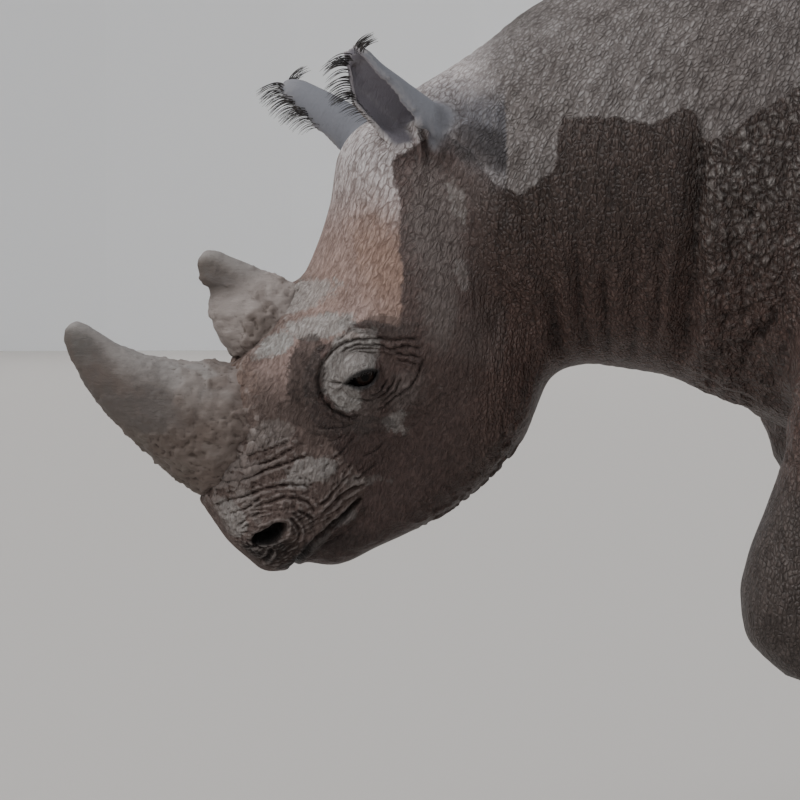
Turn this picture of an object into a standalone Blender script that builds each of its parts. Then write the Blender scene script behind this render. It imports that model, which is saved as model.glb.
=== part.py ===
"""A black rhinoceros at life size, walking, with its head low and its left forefoot lifted.

Run it with: blender --background --python part.py

Metres, +Z up. The animal faces -X and its left side faces -Y. The flesh is lofted as one body, blended with a
voxel remesh, and then parted into head, neck, trunk, legs, feet and tail by thin cuts. Horns, eyes, nails and
ears are separate pieces that sit on it. At the end everything is moved so that the origin is at the bottom
centre of its bounding box.
"""

import math

import bmesh
import bpy
import numpy as np
from mathutils import Matrix, Vector

# ---- Driving dimensions -------------------------------------------------------------------------------------

CUT = 0.0004  # width of the thin cut between two pieces of flesh
SEAT_GAP = 0.0005  # clearance round a horn, ear or nail that sits on the flesh
BLEND_VOXEL = 0.010  # grid of the remesh that joins the lofts
BLEND_STEPS = 14  # smoothing passes that round the joins
FINE_TRIANGLES = 10500  # count at the density that the head, feet and tail keep
FLESH_TRIANGLES = 3900  # count once the plain stretches are thinned too
LOFT_SIDES = 36
LOFT_STEPS = 5  # sections made between two rows of a table

HEAD_YAW = math.radians(12)  # the head is turned a little to the animal's left
HEAD_PIVOT = Vector((0.10, 0.0, 1.0))  # the joint of skull and neck
POLL = Vector((0.039, 0.0, 1.117))  # point between the ears that the head's own axes start from
HEAD_DOWN = Vector((-0.404, 0.0, -0.915)).normalized()  # from the poll to the nose
HEAD_FORE = Vector((-0.915, 0.0, 0.404)).normalized()  # out of the forehead

EYE_RADIUS = 0.0215
EYE_DOWN, EYE_FORE, EYE_OUT = 0.3425, -0.028, 0.1155

EAR_WALL = 0.010

NAIL_LIFT = 0.005  # height of a nail's lower edge over the sole
NAIL_SINK = 0.008  # depth of a nail's middle under the skin

# ---- Tables of sections --------------------------------------------------------------------------------------
# Each row is x, y, z of the section's centre, its reach over the centre (to the back on the spine, to the front
# on a leg), its reach under it, its half width, and the powers of the two half outlines: 2 is an ellipse, more
# is squarer and less is more like a ridge.

TRUNK = (
    (0.40, 0, 0.960, 0.17, 0.15, 0.12, 2.0, 2.0),
    (0.50, 0, 0.990, 0.33, 0.25, 0.22, 2.0, 2.0),
    (0.65, 0, 1.010, 0.45, 0.335, 0.290, 1.9, 2.1),
    (0.80, 0, 1.010, 0.485, 0.365, 0.330, 1.8, 2.2),
    (1.00, 0, 0.985, 0.472, 0.380, 0.375, 1.9, 2.2),
    (1.25, 0, 0.955, 0.462, 0.395, 0.415, 2.0, 2.2),
    (1.50, 0, 0.945, 0.472, 0.408, 0.432, 2.0, 2.2),
    (1.75, 0, 0.960, 0.485, 0.392, 0.415, 2.0, 2.2),
    (1.95, 0, 0.990, 0.467, 0.345, 0.375, 2.0, 2.2),
    (2.15, 0, 1.010, 0.405, 0.295, 0.320, 2.0, 2.1),
    (2.32, 0, 1.020, 0.295, 0.250, 0.245, 2.0, 2.0),
    (2.42, 0, 1.010, 0.170, 0.175, 0.155, 2.0, 2.0),
    (2.462, 0, 1.005, 0.070, 0.080, 0.065, 2.0, 2.0),
)

NECK = (
    (0.02, -0.004, 0.930, 0.150, 0.130, 0.110, 2.0, 2.0),
    (0.08, -0.003, 0.962, 0.196, 0.180, 0.150, 2.0, 2.0),
    (0.16, -0.001, 0.995, 0.216, 0.216, 0.178, 1.9, 2.0),
    (0.30, 0.000, 1.045, 0.266, 0.279, 0.212, 1.8, 2.0),
    (0.46, 0.000, 1.065, 0.345, 0.329, 0.250, 1.8, 2.0),
    (0.64, 0.000, 1.040, 0.420, 0.355, 0.280, 1.9, 2.0),
)

# The head's rows are given along its own axes instead: distance from the poll to the nose, height of the widest
# level out of the axis, reach to the forehead side, reach to the throat side, half width and the two powers.
SKULL = (
    (0.614, -0.034, 0.027, 0.022, 0.024, 2.0, 2.0),
    (0.600, -0.030, 0.062, 0.036, 0.050, 2.0, 2.2),
    (0.575, -0.026, 0.089, 0.046, 0.076, 2.0, 2.4),
    (0.535, -0.024, 0.105, 0.062, 0.089, 2.0, 2.4),
    (0.480, -0.020, 0.122, 0.105, 0.088, 2.2, 2.2),
    (0.430, -0.020, 0.130, 0.150, 0.090, 2.4, 2.6),
    (0.385, -0.030, 0.132, 0.165, 0.104, 2.3, 2.8),
    (0.340, -0.050, 0.140, 0.170, 0.132, 2.1, 2.8),
    (0.280, -0.070, 0.140, 0.165, 0.156, 2.1, 2.6),
    (0.220, -0.070, 0.138, 0.150, 0.160, 2.1, 2.4),
    (0.150, -0.060, 0.134, 0.130, 0.147, 2.2, 2.2),
    (0.090, -0.050, 0.141, 0.120, 0.131, 2.3, 2.0),
    (0.040, -0.050, 0.128, 0.090, 0.112, 2.1, 2.0),
    (0.000, -0.050, 0.080, 0.060, 0.080, 2.0, 2.0),
)

JAW = (
    (0.586, -0.092, 0.010, 0.010, 0.022, 2.0, 2.0),
    (0.572, -0.098, 0.024, 0.028, 0.044, 2.2, 2.2),
    (0.540, -0.112, 0.040, 0.038, 0.059, 2.2, 2.2),
    (0.500, -0.136, 0.060, 0.052, 0.068, 2.2, 2.2),
    (0.450, -0.155, 0.080, 0.072, 0.082, 2.2, 2.2),
    (0.400, -0.165, 0.095, 0.088, 0.102, 2.2, 2.2),
    (0.340, -0.168, 0.115, 0.108, 0.126, 2.2, 2.2),
    (0.280, -0.165, 0.120, 0.114, 0.142, 2.2, 2.2),
    (0.220, -0.155, 0.120, 0.112, 0.140, 2.2, 2.2),
    (0.160, -0.130, 0.100, 0.090, 0.118, 2.2, 2.2),
)

FRONT_HORN = (
    (-0.429, 0, 0.8510, 0.012, 0.010, 0.010, 2.0, 2.0),
    (-0.4180, 0, 0.8360, 0.021, 0.020, 0.018, 2.0, 2.0),
    (-0.3887, 0, 0.8025, 0.034, 0.034, 0.031, 2.0, 2.0),
    (-0.3601, 0, 0.7791, 0.045, 0.045, 0.042, 2.0, 2.0),
    (-0.3185, 0, 0.7531, 0.060, 0.058, 0.055, 2.0, 2.0),
    (-0.2730, 0, 0.7330, 0.077, 0.078, 0.068, 2.0, 2.0),
    (-0.2380, 0, 0.7220, 0.090, 0.094, 0.078, 2.0, 2.0),
    (-0.1900, 0, 0.7100, 0.080, 0.085, 0.070, 2.0, 2.0),
)

REAR_HORN = (
    (-0.2590, 0, 0.9420, 0.010, 0.012, 0.009, 2.0, 2.0),
    (-0.2480, 0, 0.9310, 0.020, 0.022, 0.015, 2.0, 2.0),
    (-0.2300, 0, 0.9120, 0.031, 0.036, 0.023, 2.0, 2.0),
    (-0.2080, 0, 0.8900, 0.045, 0.054, 0.033, 2.0, 2.0),
    (-0.1800, 0, 0.8620, 0.062, 0.066, 0.046, 2.0, 2.0),
    (-0.1550, 0, 0.8370, 0.066, 0.066, 0.052, 2.0, 2.0),
)

RIGHT_FORELEG = (
    (0.795, 0.215, -0.02, 0.112, 0.104, 0.110, 2.0, 2.0),
    (0.795, 0.215, 0.04, 0.118, 0.108, 0.116, 2.0, 2.0),
    (0.795, 0.215, 0.10, 0.104, 0.094, 0.104, 2.0, 2.0),
    (0.792, 0.215, 0.18, 0.084, 0.083, 0.086, 2.0, 2.0),
    (0.778, 0.215, 0.30, 0.077, 0.078, 0.078, 2.0, 2.0),
    (0.757, 0.215, 0.42, 0.091, 0.088, 0.091, 2.0, 2.0),
    (0.735, 0.215, 0.50, 0.091, 0.095, 0.093, 2.0, 2.0),
    (0.690, 0.215, 0.62, 0.124, 0.125, 0.112, 2.0, 2.0),
    (0.645, 0.212, 0.74, 0.150, 0.155, 0.130, 2.0, 2.0),
    (0.625, 0.205, 0.86, 0.158, 0.178, 0.137, 2.0, 2.0),
    (0.625, 0.190, 1.00, 0.150, 0.180, 0.135, 2.0, 2.0),
    (0.660, 0.170, 1.15, 0.125, 0.150, 0.112, 2.0, 2.0),
    (0.700, 0.140, 1.28, 0.070, 0.080, 0.060, 2.0, 2.0),
)

LEFT_SHANK = (
    (0.845, -0.235, 0.236, 0.108, 0.102, 0.108, 2.0, 2.0),
    (0.808, -0.235, 0.283, 0.118, 0.108, 0.116, 2.0, 2.0),
    (0.770, -0.235, 0.328, 0.104, 0.094, 0.104, 2.0, 2.0),
    (0.722, -0.235, 0.374, 0.084, 0.083, 0.086, 2.0, 2.0),
    (0.650, -0.235, 0.430, 0.077, 0.078, 0.078, 2.0, 2.0),
    (0.580, -0.235, 0.482, 0.094, 0.088, 0.090, 2.0, 2.0),
    (0.530, -0.235, 0.515, 0.106, 0.092, 0.096, 2.0, 2.0),
    (0.485, -0.235, 0.548, 0.076, 0.060, 0.070, 2.0, 2.0),
)

LEFT_FORELEG = (
    (0.500, -0.235, 0.455, 0.072, 0.055, 0.062, 2.0, 2.0),
    (0.514, -0.235, 0.525, 0.098, 0.090, 0.093, 2.0, 2.0),
    (0.540, -0.235, 0.590, 0.102, 0.102, 0.099, 2.0, 2.0),
    (0.580, -0.233, 0.665, 0.114, 0.118, 0.112, 2.0, 2.0),
    (0.615, -0.228, 0.750, 0.142, 0.146, 0.126, 2.0, 2.0),
    (0.645, -0.218, 0.840, 0.155, 0.168, 0.135, 2.0, 2.0),
    (0.645, -0.203, 0.950, 0.150, 0.180, 0.135, 2.0, 2.0),
    (0.645, -0.188, 1.050, 0.140, 0.165, 0.127, 2.0, 2.0),
    (0.670, -0.165, 1.180, 0.110, 0.130, 0.100, 2.0, 2.0),
    (0.700, -0.140, 1.280, 0.070, 0.080, 0.060, 2.0, 2.0),
)

LEFT_HINDLEG = (
    (1.620, -0.205, -0.02, 0.107, 0.098, 0.104, 2.0, 2.0),
    (1.620, -0.205, 0.04, 0.113, 0.102, 0.108, 2.0, 2.0),
    (1.625, -0.205, 0.10, 0.098, 0.088, 0.096, 2.0, 2.0),
    (1.655, -0.205, 0.18, 0.080, 0.078, 0.080, 2.0, 2.0),
    (1.720, -0.205, 0.30, 0.073, 0.076, 0.073, 2.0, 2.0),
    (1.785, -0.205, 0.40, 0.077, 0.088, 0.077, 2.0, 2.0),
    (1.832, -0.205, 0.48, 0.087, 0.104, 0.083, 2.0, 2.0),
    (1.842, -0.207, 0.56, 0.102, 0.118, 0.094, 2.0, 2.0),
    (1.822, -0.210, 0.66, 0.134, 0.160, 0.116, 2.0, 2.0),
    (1.830, -0.212, 0.78, 0.174, 0.215, 0.138, 2.0, 2.0),
    (1.885, -0.205, 0.92, 0.192, 0.272, 0.150, 2.0, 2.0),
    (1.970, -0.180, 1.07, 0.190, 0.275, 0.142, 2.0, 2.0),
    (2.040, -0.140, 1.21, 0.160, 0.220, 0.110, 2.0, 2.0),
    (2.070, -0.100, 1.31, 0.080, 0.110, 0.065, 2.0, 2.0),
)

RIGHT_HINDLEG = (
    (2.260, 0.205, -0.02, 0.107, 0.098, 0.104, 2.0, 2.0),
    (2.260, 0.205, 0.04, 0.113, 0.102, 0.108, 2.0, 2.0),
    (2.265, 0.205, 0.10, 0.098, 0.088, 0.096, 2.0, 2.0),
    (2.285, 0.205, 0.18, 0.080, 0.078, 0.080, 2.0, 2.0),
    (2.315, 0.205, 0.30, 0.073, 0.076, 0.073, 2.0, 2.0),
    (2.338, 0.205, 0.42, 0.078, 0.090, 0.078, 2.0, 2.0),
    (2.332, 0.205, 0.51, 0.090, 0.106, 0.085, 2.0, 2.0),
    (2.285, 0.207, 0.60, 0.106, 0.120, 0.096, 2.0, 2.0),
    (2.205, 0.210, 0.70, 0.140, 0.162, 0.118, 2.0, 2.0),
    (2.125, 0.212, 0.82, 0.180, 0.215, 0.138, 2.0, 2.0),
    (2.075, 0.205, 0.95, 0.195, 0.262, 0.150, 2.0, 2.0),
    (2.065, 0.180, 1.08, 0.190, 0.262, 0.142, 2.0, 2.0),
    (2.070, 0.140, 1.21, 0.160, 0.215, 0.110, 2.0, 2.0),
    (2.085, 0.100, 1.31, 0.080, 0.110, 0.065, 2.0, 2.0),
)

TAIL = (
    (2.496, 0.000, 0.700, 0.016, 0.016, 0.016, 2.0, 2.0),
    (2.504, 0.000, 0.780, 0.017, 0.017, 0.018, 2.0, 2.0),
    (2.516, 0.000, 0.900, 0.020, 0.020, 0.021, 2.0, 2.0),
    (2.520, 0.000, 1.020, 0.025, 0.025, 0.027, 2.0, 2.0),
    (2.500, 0.000, 1.120, 0.033, 0.033, 0.036, 2.0, 2.0),
    (2.440, 0.000, 1.195, 0.045, 0.050, 0.052, 2.0, 2.0),
    (2.340, 0.000, 1.230, 0.060, 0.060, 0.070, 2.0, 2.0),
)

TUFT = (
    (2.488, 0.000, 0.590, 0.005, 0.005, 0.010, 2.0, 2.0),
    (2.490, 0.000, 0.620, 0.013, 0.013, 0.030, 2.0, 2.0),
    (2.492, 0.000, 0.670, 0.016, 0.016, 0.038, 2.0, 2.0),
    (2.496, 0.000, 0.730, 0.019, 0.019, 0.034, 2.0, 2.0),
    (2.502, 0.000, 0.790, 0.021, 0.021, 0.024, 2.0, 2.0),
)

# Every foot's nails: angle from straight forward, half width, half height and half thickness.
NAILS = (
    ("middle", 0, 0.050, 0.036, 0.020),
    ("inner", 62, 0.036, 0.030, 0.018),
    ("outer", -62, 0.036, 0.030, 0.018),
)

# Each ear: base, tip, opening direction and breadth, all before the head turns.
EARS = {
    "ear_left": ((0.037, -0.084, 1.078), (-0.092, -0.102, 1.182), (-0.78, -0.55, 0.0), 1.0),
    "ear_right": ((0.015, 0.074, 1.057), (-0.133, 0.141, 1.163), (-0.35, 0.28, -0.85), 1.15),
}
# Sections of an ear from base to tip: share of its length, half width, depth, half angle of its opening.
EAR_ROWS = (
    (0.00, 0.033, 0.034, 20),
    (0.20, 0.030, 0.030, 36),
    (0.45, 0.026, 0.026, 56),
    (0.70, 0.023, 0.022, 72),
    (0.90, 0.020, 0.017, 84),
    (0.99, 0.013, 0.009, 92),
)

# ---- Where the flesh is parted -------------------------------------------------------------------------------

# Boxes that take off the head, then the neck and then the tail: size, middle, tilt about Y and turn about Z.
FLESH_CUTS = {
    "head": ((1.0, 1.0, 0.9), (-0.325, -0.05, 0.80), math.radians(-21), HEAD_YAW / 2),
    "neck": ((1.0, 1.4, 1.1), (-0.04, 0.0, 1.26), math.radians(8), 0.0),
    "tail": ((0.4, 0.4, 1.2), (2.670, 0.0, 0.85), 0.0, 0.0),
}
# Blocks that take off the legs: side, x and z of the sloping top, inner edge first, then x and z of the bottom.
LEG_CUTS = {
    "front_left": (-1, (0.42, 0.83), (0.64, 1.10), (0.36, 1.05), 0.05),
    "front_right": (1, (0.44, 0.83), (0.64, 1.10), (0.40, 1.00), -0.3),
    "rear_left": (-1, (1.60, 2.18), (0.56, 1.22), (1.40, 2.05), -0.3),
    "rear_right": (1, (1.84, 2.60), (0.60, 1.26), (2.00, 2.60), -0.3),
}
# Boxes that take the feet off the legs: size, middle and tilt about Y.
FOOT_CUTS = {
    "front_left": ((0.40, 0.40, 0.30), (0.87, -0.235, 0.21), math.radians(-38)),
    "front_right": ((0.40, 0.40, 0.40), (0.795, 0.215, -0.06), 0.0),
    "rear_left": ((0.40, 0.40, 0.40), (1.620, -0.205, -0.06), 0.0),
    "rear_right": ((0.40, 0.40, 0.40), (2.260, 0.205, -0.06), 0.0),
}
LEG_CUT_INNER, LEG_CUT_OUTER = 0.02, 0.60  # from the midline

# ---- Colours -------------------------------------------------------------------------------------------------

HIDE = (0.235, 0.165, 0.135)
HIDE_DARK = (0.115, 0.078, 0.062)
HORN_GREY = (0.190, 0.165, 0.150)
NAIL_GREY = (0.150, 0.125, 0.110)
EYE_BROWN = (0.012, 0.007, 0.005)


# ---- Helpers -------------------------------------------------------------------------------------------------


def clear_scene():
    for item in list(bpy.data.objects):
        bpy.data.objects.remove(item, do_unlink=True)


def new_collection(name):
    collection = bpy.data.collections.new(name)
    bpy.context.scene.collection.children.link(collection)
    return collection


def new_material(name, colour, roughness):
    material = bpy.data.materials.new(name)
    material.use_nodes = True
    shader = material.node_tree.nodes["Principled BSDF"]
    shader.inputs["Base Color"].default_value = (*colour, 1.0)
    shader.inputs["Roughness"].default_value = roughness
    shader.inputs["Metallic"].default_value = 0.0
    return material


def new_object(name, mesh_source, collection):
    """An object from a bmesh, which is freed."""
    mesh = bpy.data.meshes.new(name)
    mesh_source.to_mesh(mesh)
    mesh_source.free()
    item = bpy.data.objects.new(name, mesh)
    collection.objects.link(item)
    return item


def apply_modifiers(item):
    """Bakes the modifiers of an object into its mesh."""
    graph = bpy.context.evaluated_depsgraph_get()
    baked = bpy.data.meshes.new_from_object(item.evaluated_get(graph))
    old = item.data
    item.modifiers.clear()
    item.data = baked
    bpy.data.meshes.remove(old)


def hide_tool(item):
    item.hide_render = True
    item.display_type = "WIRE"


def combine(item, tool, operation):
    """A boolean of two objects, baked into the first."""
    modifier = item.modifiers.new(operation.lower(), "BOOLEAN")
    modifier.operation = operation
    modifier.solver = "EXACT"
    modifier.object = tool
    apply_modifiers(item)


def box(name, tools, size, location, tilt=0.0, turn=0.0):
    """A box tool, tilted about Y and then turned about Z."""
    mesh = bmesh.new()
    bmesh.ops.create_cube(mesh, size=1.0)
    bmesh.ops.scale(mesh, vec=size, verts=mesh.verts)
    rotation = Matrix.Rotation(turn, 4, "Z") @ Matrix.Rotation(tilt, 4, "Y")
    bmesh.ops.transform(mesh, matrix=Matrix.Translation(location) @ rotation, verts=mesh.verts)
    item = new_object(name, mesh, tools)
    hide_tool(item)
    return item


def smooth_rows(table, steps):
    """Rows between those of a table, on a smooth curve through them."""
    rows = np.array(table, dtype=float)
    padded = np.vstack([2 * rows[0] - rows[1], rows, 2 * rows[-1] - rows[-2]])
    result = []
    for i in range(len(rows) - 1):
        before, start, end, after = padded[i : i + 4]
        for step in range(steps):
            t = step / steps
            curve = 2 * start + (end - before) * t
            curve += (2 * before - 5 * start + 4 * end - after) * t * t
            curve += (3 * start - before - 3 * end + after) * t**3
            result.append(curve / 2)
    result.append(rows[-1])
    return result


def outline(row, along, sides):
    """Points round one section: two half superellipses that meet at its sides."""
    centre = Vector(row[:3])
    over, under, half_width, over_power, under_power = row[3:]
    side = Vector((0, 1, 0))
    up = along.cross(side).normalized()
    points = []
    for i in range(sides):
        angle = 2 * math.pi * i / sides
        cosine, sine = math.cos(angle), math.sin(angle)
        power = over_power if sine > 0 else under_power
        reach = over if sine > 0 else under
        across = half_width * math.copysign(abs(cosine) ** (2 / power), cosine)
        upward = reach * math.copysign(abs(sine) ** (2 / power), sine)
        points.append(centre + side * across + up * upward)
    return points


def loft(name, table, collection, along=None, sides=LOFT_SIDES, steps=LOFT_STEPS):
    """A closed tube through a table's sections, square to its path or to a given direction."""
    rows = smooth_rows(table, steps)
    centres = [Vector(row[:3]) for row in rows]
    mesh = bmesh.new()
    rings = []
    for i, row in enumerate(rows):
        path = centres[min(i + 1, len(rows) - 1)] - centres[max(i - 1, 0)]
        ring = [mesh.verts.new(point) for point in outline(row, along or path.normalized(), sides)]
        rings.append(ring)
    for ring, following in zip(rings, rings[1:]):
        for i in range(sides):
            j = (i + 1) % sides
            mesh.faces.new((ring[i], ring[j], following[j], following[i]))
    mesh.faces.new(rings[0])
    mesh.faces.new(rings[-1])
    bmesh.ops.recalc_face_normals(mesh, faces=mesh.faces)
    return new_object(name, mesh, collection)


def head_rows(table):
    """Rows in the head's own axes as rows in the world's."""
    rows = []
    for down, fore, *rest in table:
        centre = POLL + HEAD_DOWN * down + HEAD_FORE * fore
        rows.append((*centre, *rest))
    return rows


def turn_head(item):
    """Turns a piece of the head about the joint of skull and neck."""
    turn = Matrix.Translation(HEAD_PIVOT) @ Matrix.Rotation(HEAD_YAW, 4, "Z") @ Matrix.Translation(-HEAD_PIVOT)
    item.data.transform(turn)


def grown(item, distance, collection):
    """A copy of a closed piece, grown outward by a distance."""
    tool = item.copy()
    tool.data = item.data.copy()
    collection.objects.link(tool)
    mesh = bmesh.new()
    mesh.from_mesh(tool.data)
    mesh.normal_update()
    shifts = {}
    for vertex in mesh.verts:
        shifts[vertex] = vertex.normal * distance * min(vertex.calc_shell_factor(), 2.0)
    for vertex, shift in shifts.items():
        vertex.co += shift
    mesh.to_mesh(tool.data)
    mesh.free()
    hide_tool(tool)
    return tool


# ---- Flesh ---------------------------------------------------------------------------------------------------


def make_flesh(collection, tools):
    """The whole animal without ears, horns, eyes and nails, as one closed mesh."""
    pieces = [
        loft("trunk_loft", TRUNK, tools),
        loft("neck_loft", NECK, tools),
        loft("tail_loft", TAIL, tools, sides=16),
        loft("tuft_loft", TUFT, tools, sides=16),
    ]
    for table in (RIGHT_FORELEG, LEFT_FORELEG, LEFT_SHANK, LEFT_HINDLEG, RIGHT_HINDLEG):
        pieces.append(loft("leg_loft", table, tools))
    for table in (SKULL, JAW):
        piece = loft("head_loft", head_rows(table), tools, along=-HEAD_DOWN)
        turn_head(piece)
        pieces.append(piece)
    mesh = bmesh.new()
    for piece in pieces:
        mesh.from_mesh(piece.data)
        bpy.data.objects.remove(piece, do_unlink=True)
    flesh = new_object("flesh", mesh, collection)
    blend = flesh.modifiers.new("blend", "REMESH")
    blend.mode = "VOXEL"
    blend.voxel_size = BLEND_VOXEL
    soften = flesh.modifiers.new("soften", "SMOOTH")
    soften.factor = 0.5
    soften.iterations = BLEND_STEPS
    apply_modifiers(flesh)
    return flesh


def thin_out(flesh):
    """Fewer triangles: first everywhere, and then again where the form is plain."""
    for triangles, name in ((FINE_TRIANGLES, ""), (FLESH_TRIANGLES, "plain")):
        thin = flesh.modifiers.new("thin", "DECIMATE")
        thin.decimate_type = "COLLAPSE"
        thin.use_collapse_triangulate = True
        thin.vertex_group = name
        count = sum(len(polygon.vertices) - 2 for polygon in flesh.data.polygons)
        thin.ratio = triangles / count
        apply_modifiers(flesh)
        group = flesh.vertex_groups.get("plain") or flesh.vertex_groups.new(name="plain")
        for vertex in flesh.data.vertices:
            detailed = vertex.co.x < 0.22 or vertex.co.x > 2.48
            group.add([vertex.index], 0.0 if detailed else 1.0, "REPLACE")
    flesh.vertex_groups.clear()


def cut_soles(flesh, tools):
    """Cuts off what is under the floor, which leaves a flat sole on each standing foot."""
    floor = box("floor_tool", tools, size=(4, 2, 1), location=(1, 0, -0.5))
    combine(flesh, floor, "DIFFERENCE")


# ---- Parting the flesh ---------------------------------------------------------------------------------------


def wedge(name, tools, side, top_x, top_z, low_x, low_z):
    """A block round one leg: its top slopes up from the midline to the flank on the given side."""
    mesh = bmesh.new()
    for y, z in zip((LEG_CUT_INNER * side, LEG_CUT_OUTER * side), top_z):
        for x in top_x:
            mesh.verts.new((x, y, z))
        for x in low_x:
            mesh.verts.new((x, y, low_z))
    bmesh.ops.convex_hull(mesh, input=mesh.verts)
    bmesh.ops.recalc_face_normals(mesh, faces=mesh.faces)
    item = new_object(name, mesh, tools)
    hide_tool(item)
    return item


def cut_off(flesh, name, region, tools, collection):
    """The part of the flesh inside a region, as a piece of its own with a thin cut round it."""
    piece = flesh.copy()
    piece.data = flesh.data.copy()
    piece.name = name
    collection.objects.link(piece)
    inside = grown(region, -CUT, tools)
    combine(piece, inside, "INTERSECT")
    combine(flesh, region, "DIFFERENCE")
    return piece


def part_flesh(flesh, tools, collection):
    """Parts the flesh into named pieces and returns them."""
    pieces = {}

    def take(name, source, region):
        pieces[name] = cut_off(source, name, region, tools, collection)

    for name, (size, location, tilt, turn) in FLESH_CUTS.items():
        take(name, flesh, box(name + "_tool", tools, size, location, tilt, turn))
    for name, (side, top_x, top_z, low_x, low_z) in LEG_CUTS.items():
        take("leg_" + name, flesh, wedge("leg_tool", tools, side, top_x, top_z, low_x, low_z))
    for name, (size, location, tilt) in FOOT_CUTS.items():
        take("foot_" + name, pieces["leg_" + name], box("foot_tool", tools, size, location, tilt))
    flesh.name = "trunk"
    pieces["trunk"] = flesh
    return pieces


# ---- Horns, eyes, ears and nails -----------------------------------------------------------------------------


def make_horns(head, tools, collection):
    """The two horns, which stand on the skin of the nose clear of each other."""
    front = loft("horn_front", FRONT_HORN, collection, sides=16, steps=1)
    rear = loft("horn_rear", REAR_HORN, collection, sides=16, steps=1)
    turn_head(front)
    turn_head(rear)
    combine(rear, grown(front, SEAT_GAP, tools), "DIFFERENCE")
    skin = grown(head, SEAT_GAP, tools)
    combine(front, skin, "DIFFERENCE")
    combine(rear, skin, "DIFFERENCE")
    return [front, rear]


def make_eye(name, side, head, tools, collection):
    """An eyeball in a socket of the head."""
    centre = POLL + HEAD_DOWN * EYE_DOWN + HEAD_FORE * EYE_FORE + Vector((0, EYE_OUT * side, 0))
    mesh = bmesh.new()
    bmesh.ops.create_uvsphere(mesh, u_segments=12, v_segments=8, radius=EYE_RADIUS)
    bmesh.ops.rotate(mesh, verts=mesh.verts, matrix=Matrix.Rotation(math.pi / 2, 3, "X"))
    bmesh.ops.translate(mesh, verts=mesh.verts, vec=centre)
    eye = new_object(name, mesh, collection)
    turn_head(eye)
    combine(head, grown(eye, SEAT_GAP, tools), "DIFFERENCE")
    return eye


def make_ear(name, head, neck, tools, collection):
    """A scoop of gristle and skin: a tube at its base that opens out and comes to a tip."""
    base, tip, open_way = (Vector(values) for values in EARS[name][:3])
    breadth = EARS[name][3]
    tip_way = (tip - base).normalized()
    across = open_way.cross(tip_way).normalized()
    open_way = tip_way.cross(across)
    points = 11
    mesh = bmesh.new()
    rings = []
    for share, half_width, depth, opening in smooth_rows(EAR_ROWS, 1):
        start = math.radians(opening)
        ring = []
        for i in range(points):
            angle = start + (2 * math.pi - 2 * start) * i / (points - 1)
            centre = base.lerp(tip, share)
            reach = across * half_width * math.sin(angle) + open_way * depth * math.cos(angle)
            ring.append(mesh.verts.new(centre + reach * breadth))
        rings.append(ring)
    for ring, following in zip(rings, rings[1:]):
        for i in range(points - 1):
            mesh.faces.new((ring[i], ring[i + 1], following[i + 1], following[i]))
    bmesh.ops.recalc_face_normals(mesh, faces=mesh.faces)
    ear = new_object(name, mesh, collection)
    wall = ear.modifiers.new("wall", "SOLIDIFY")
    wall.thickness = EAR_WALL
    wall.offset = 0
    apply_modifiers(ear)
    turn_head(ear)
    for flesh in (head, neck):
        combine(ear, grown(flesh, SEAT_GAP, tools), "DIFFERENCE")
    return ear


def make_nails(foot, name, table, tools, collection):
    """Three broad nails let into the front of a foot, whose leg's table starts at its sole."""
    low, high = Vector(table[0][:3]), Vector(table[1][:3])
    up = (high - low).normalized()
    sole = low - up * min(low.z, 0)
    front_reach, side_reach = table[1][3], table[1][5]
    forward = up.cross(Vector((0, 1, 0)))
    nails = []
    for place, turn, half_width, half_height, half_depth in NAILS:
        turn = math.radians(turn if "left" in name else -turn)
        out = Matrix.Rotation(-turn, 3, up) @ forward
        mesh = bmesh.new()
        bmesh.ops.create_uvsphere(mesh, u_segments=8, v_segments=5, radius=1.0)
        bmesh.ops.scale(mesh, verts=mesh.verts, vec=(half_depth, half_width, half_height))
        axes = Matrix((out, up.cross(out), up)).transposed()
        bmesh.ops.rotate(mesh, verts=mesh.verts, matrix=axes)
        reach = front_reach + (side_reach - front_reach) * math.sin(turn) ** 2
        centre = sole + up * (half_height + NAIL_LIFT) + out * (reach - NAIL_SINK)
        bmesh.ops.translate(mesh, verts=mesh.verts, vec=centre)
        nail = new_object(f"nail_{name}_{place}", mesh, collection)
        combine(foot, grown(nail, SEAT_GAP, tools), "DIFFERENCE")
        nails.append(nail)
    return nails


# ---- The whole animal ----------------------------------------------------------------------------------------


def finish(item, material, root):
    """Triangles, outward faces, smooth shading, a material and a parent."""
    mesh = bmesh.new()
    mesh.from_mesh(item.data)
    bmesh.ops.remove_doubles(mesh, verts=mesh.verts, dist=0.0001)
    bmesh.ops.dissolve_degenerate(mesh, edges=mesh.edges, dist=0.0001)
    bmesh.ops.triangulate(mesh, faces=mesh.faces)
    mesh.to_mesh(item.data)
    mesh.free()
    item.data.shade_smooth()
    item.data.set_sharp_from_angle(angle=math.radians(50))
    item.data.materials.clear()
    item.data.materials.append(material)
    item.parent = root


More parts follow.
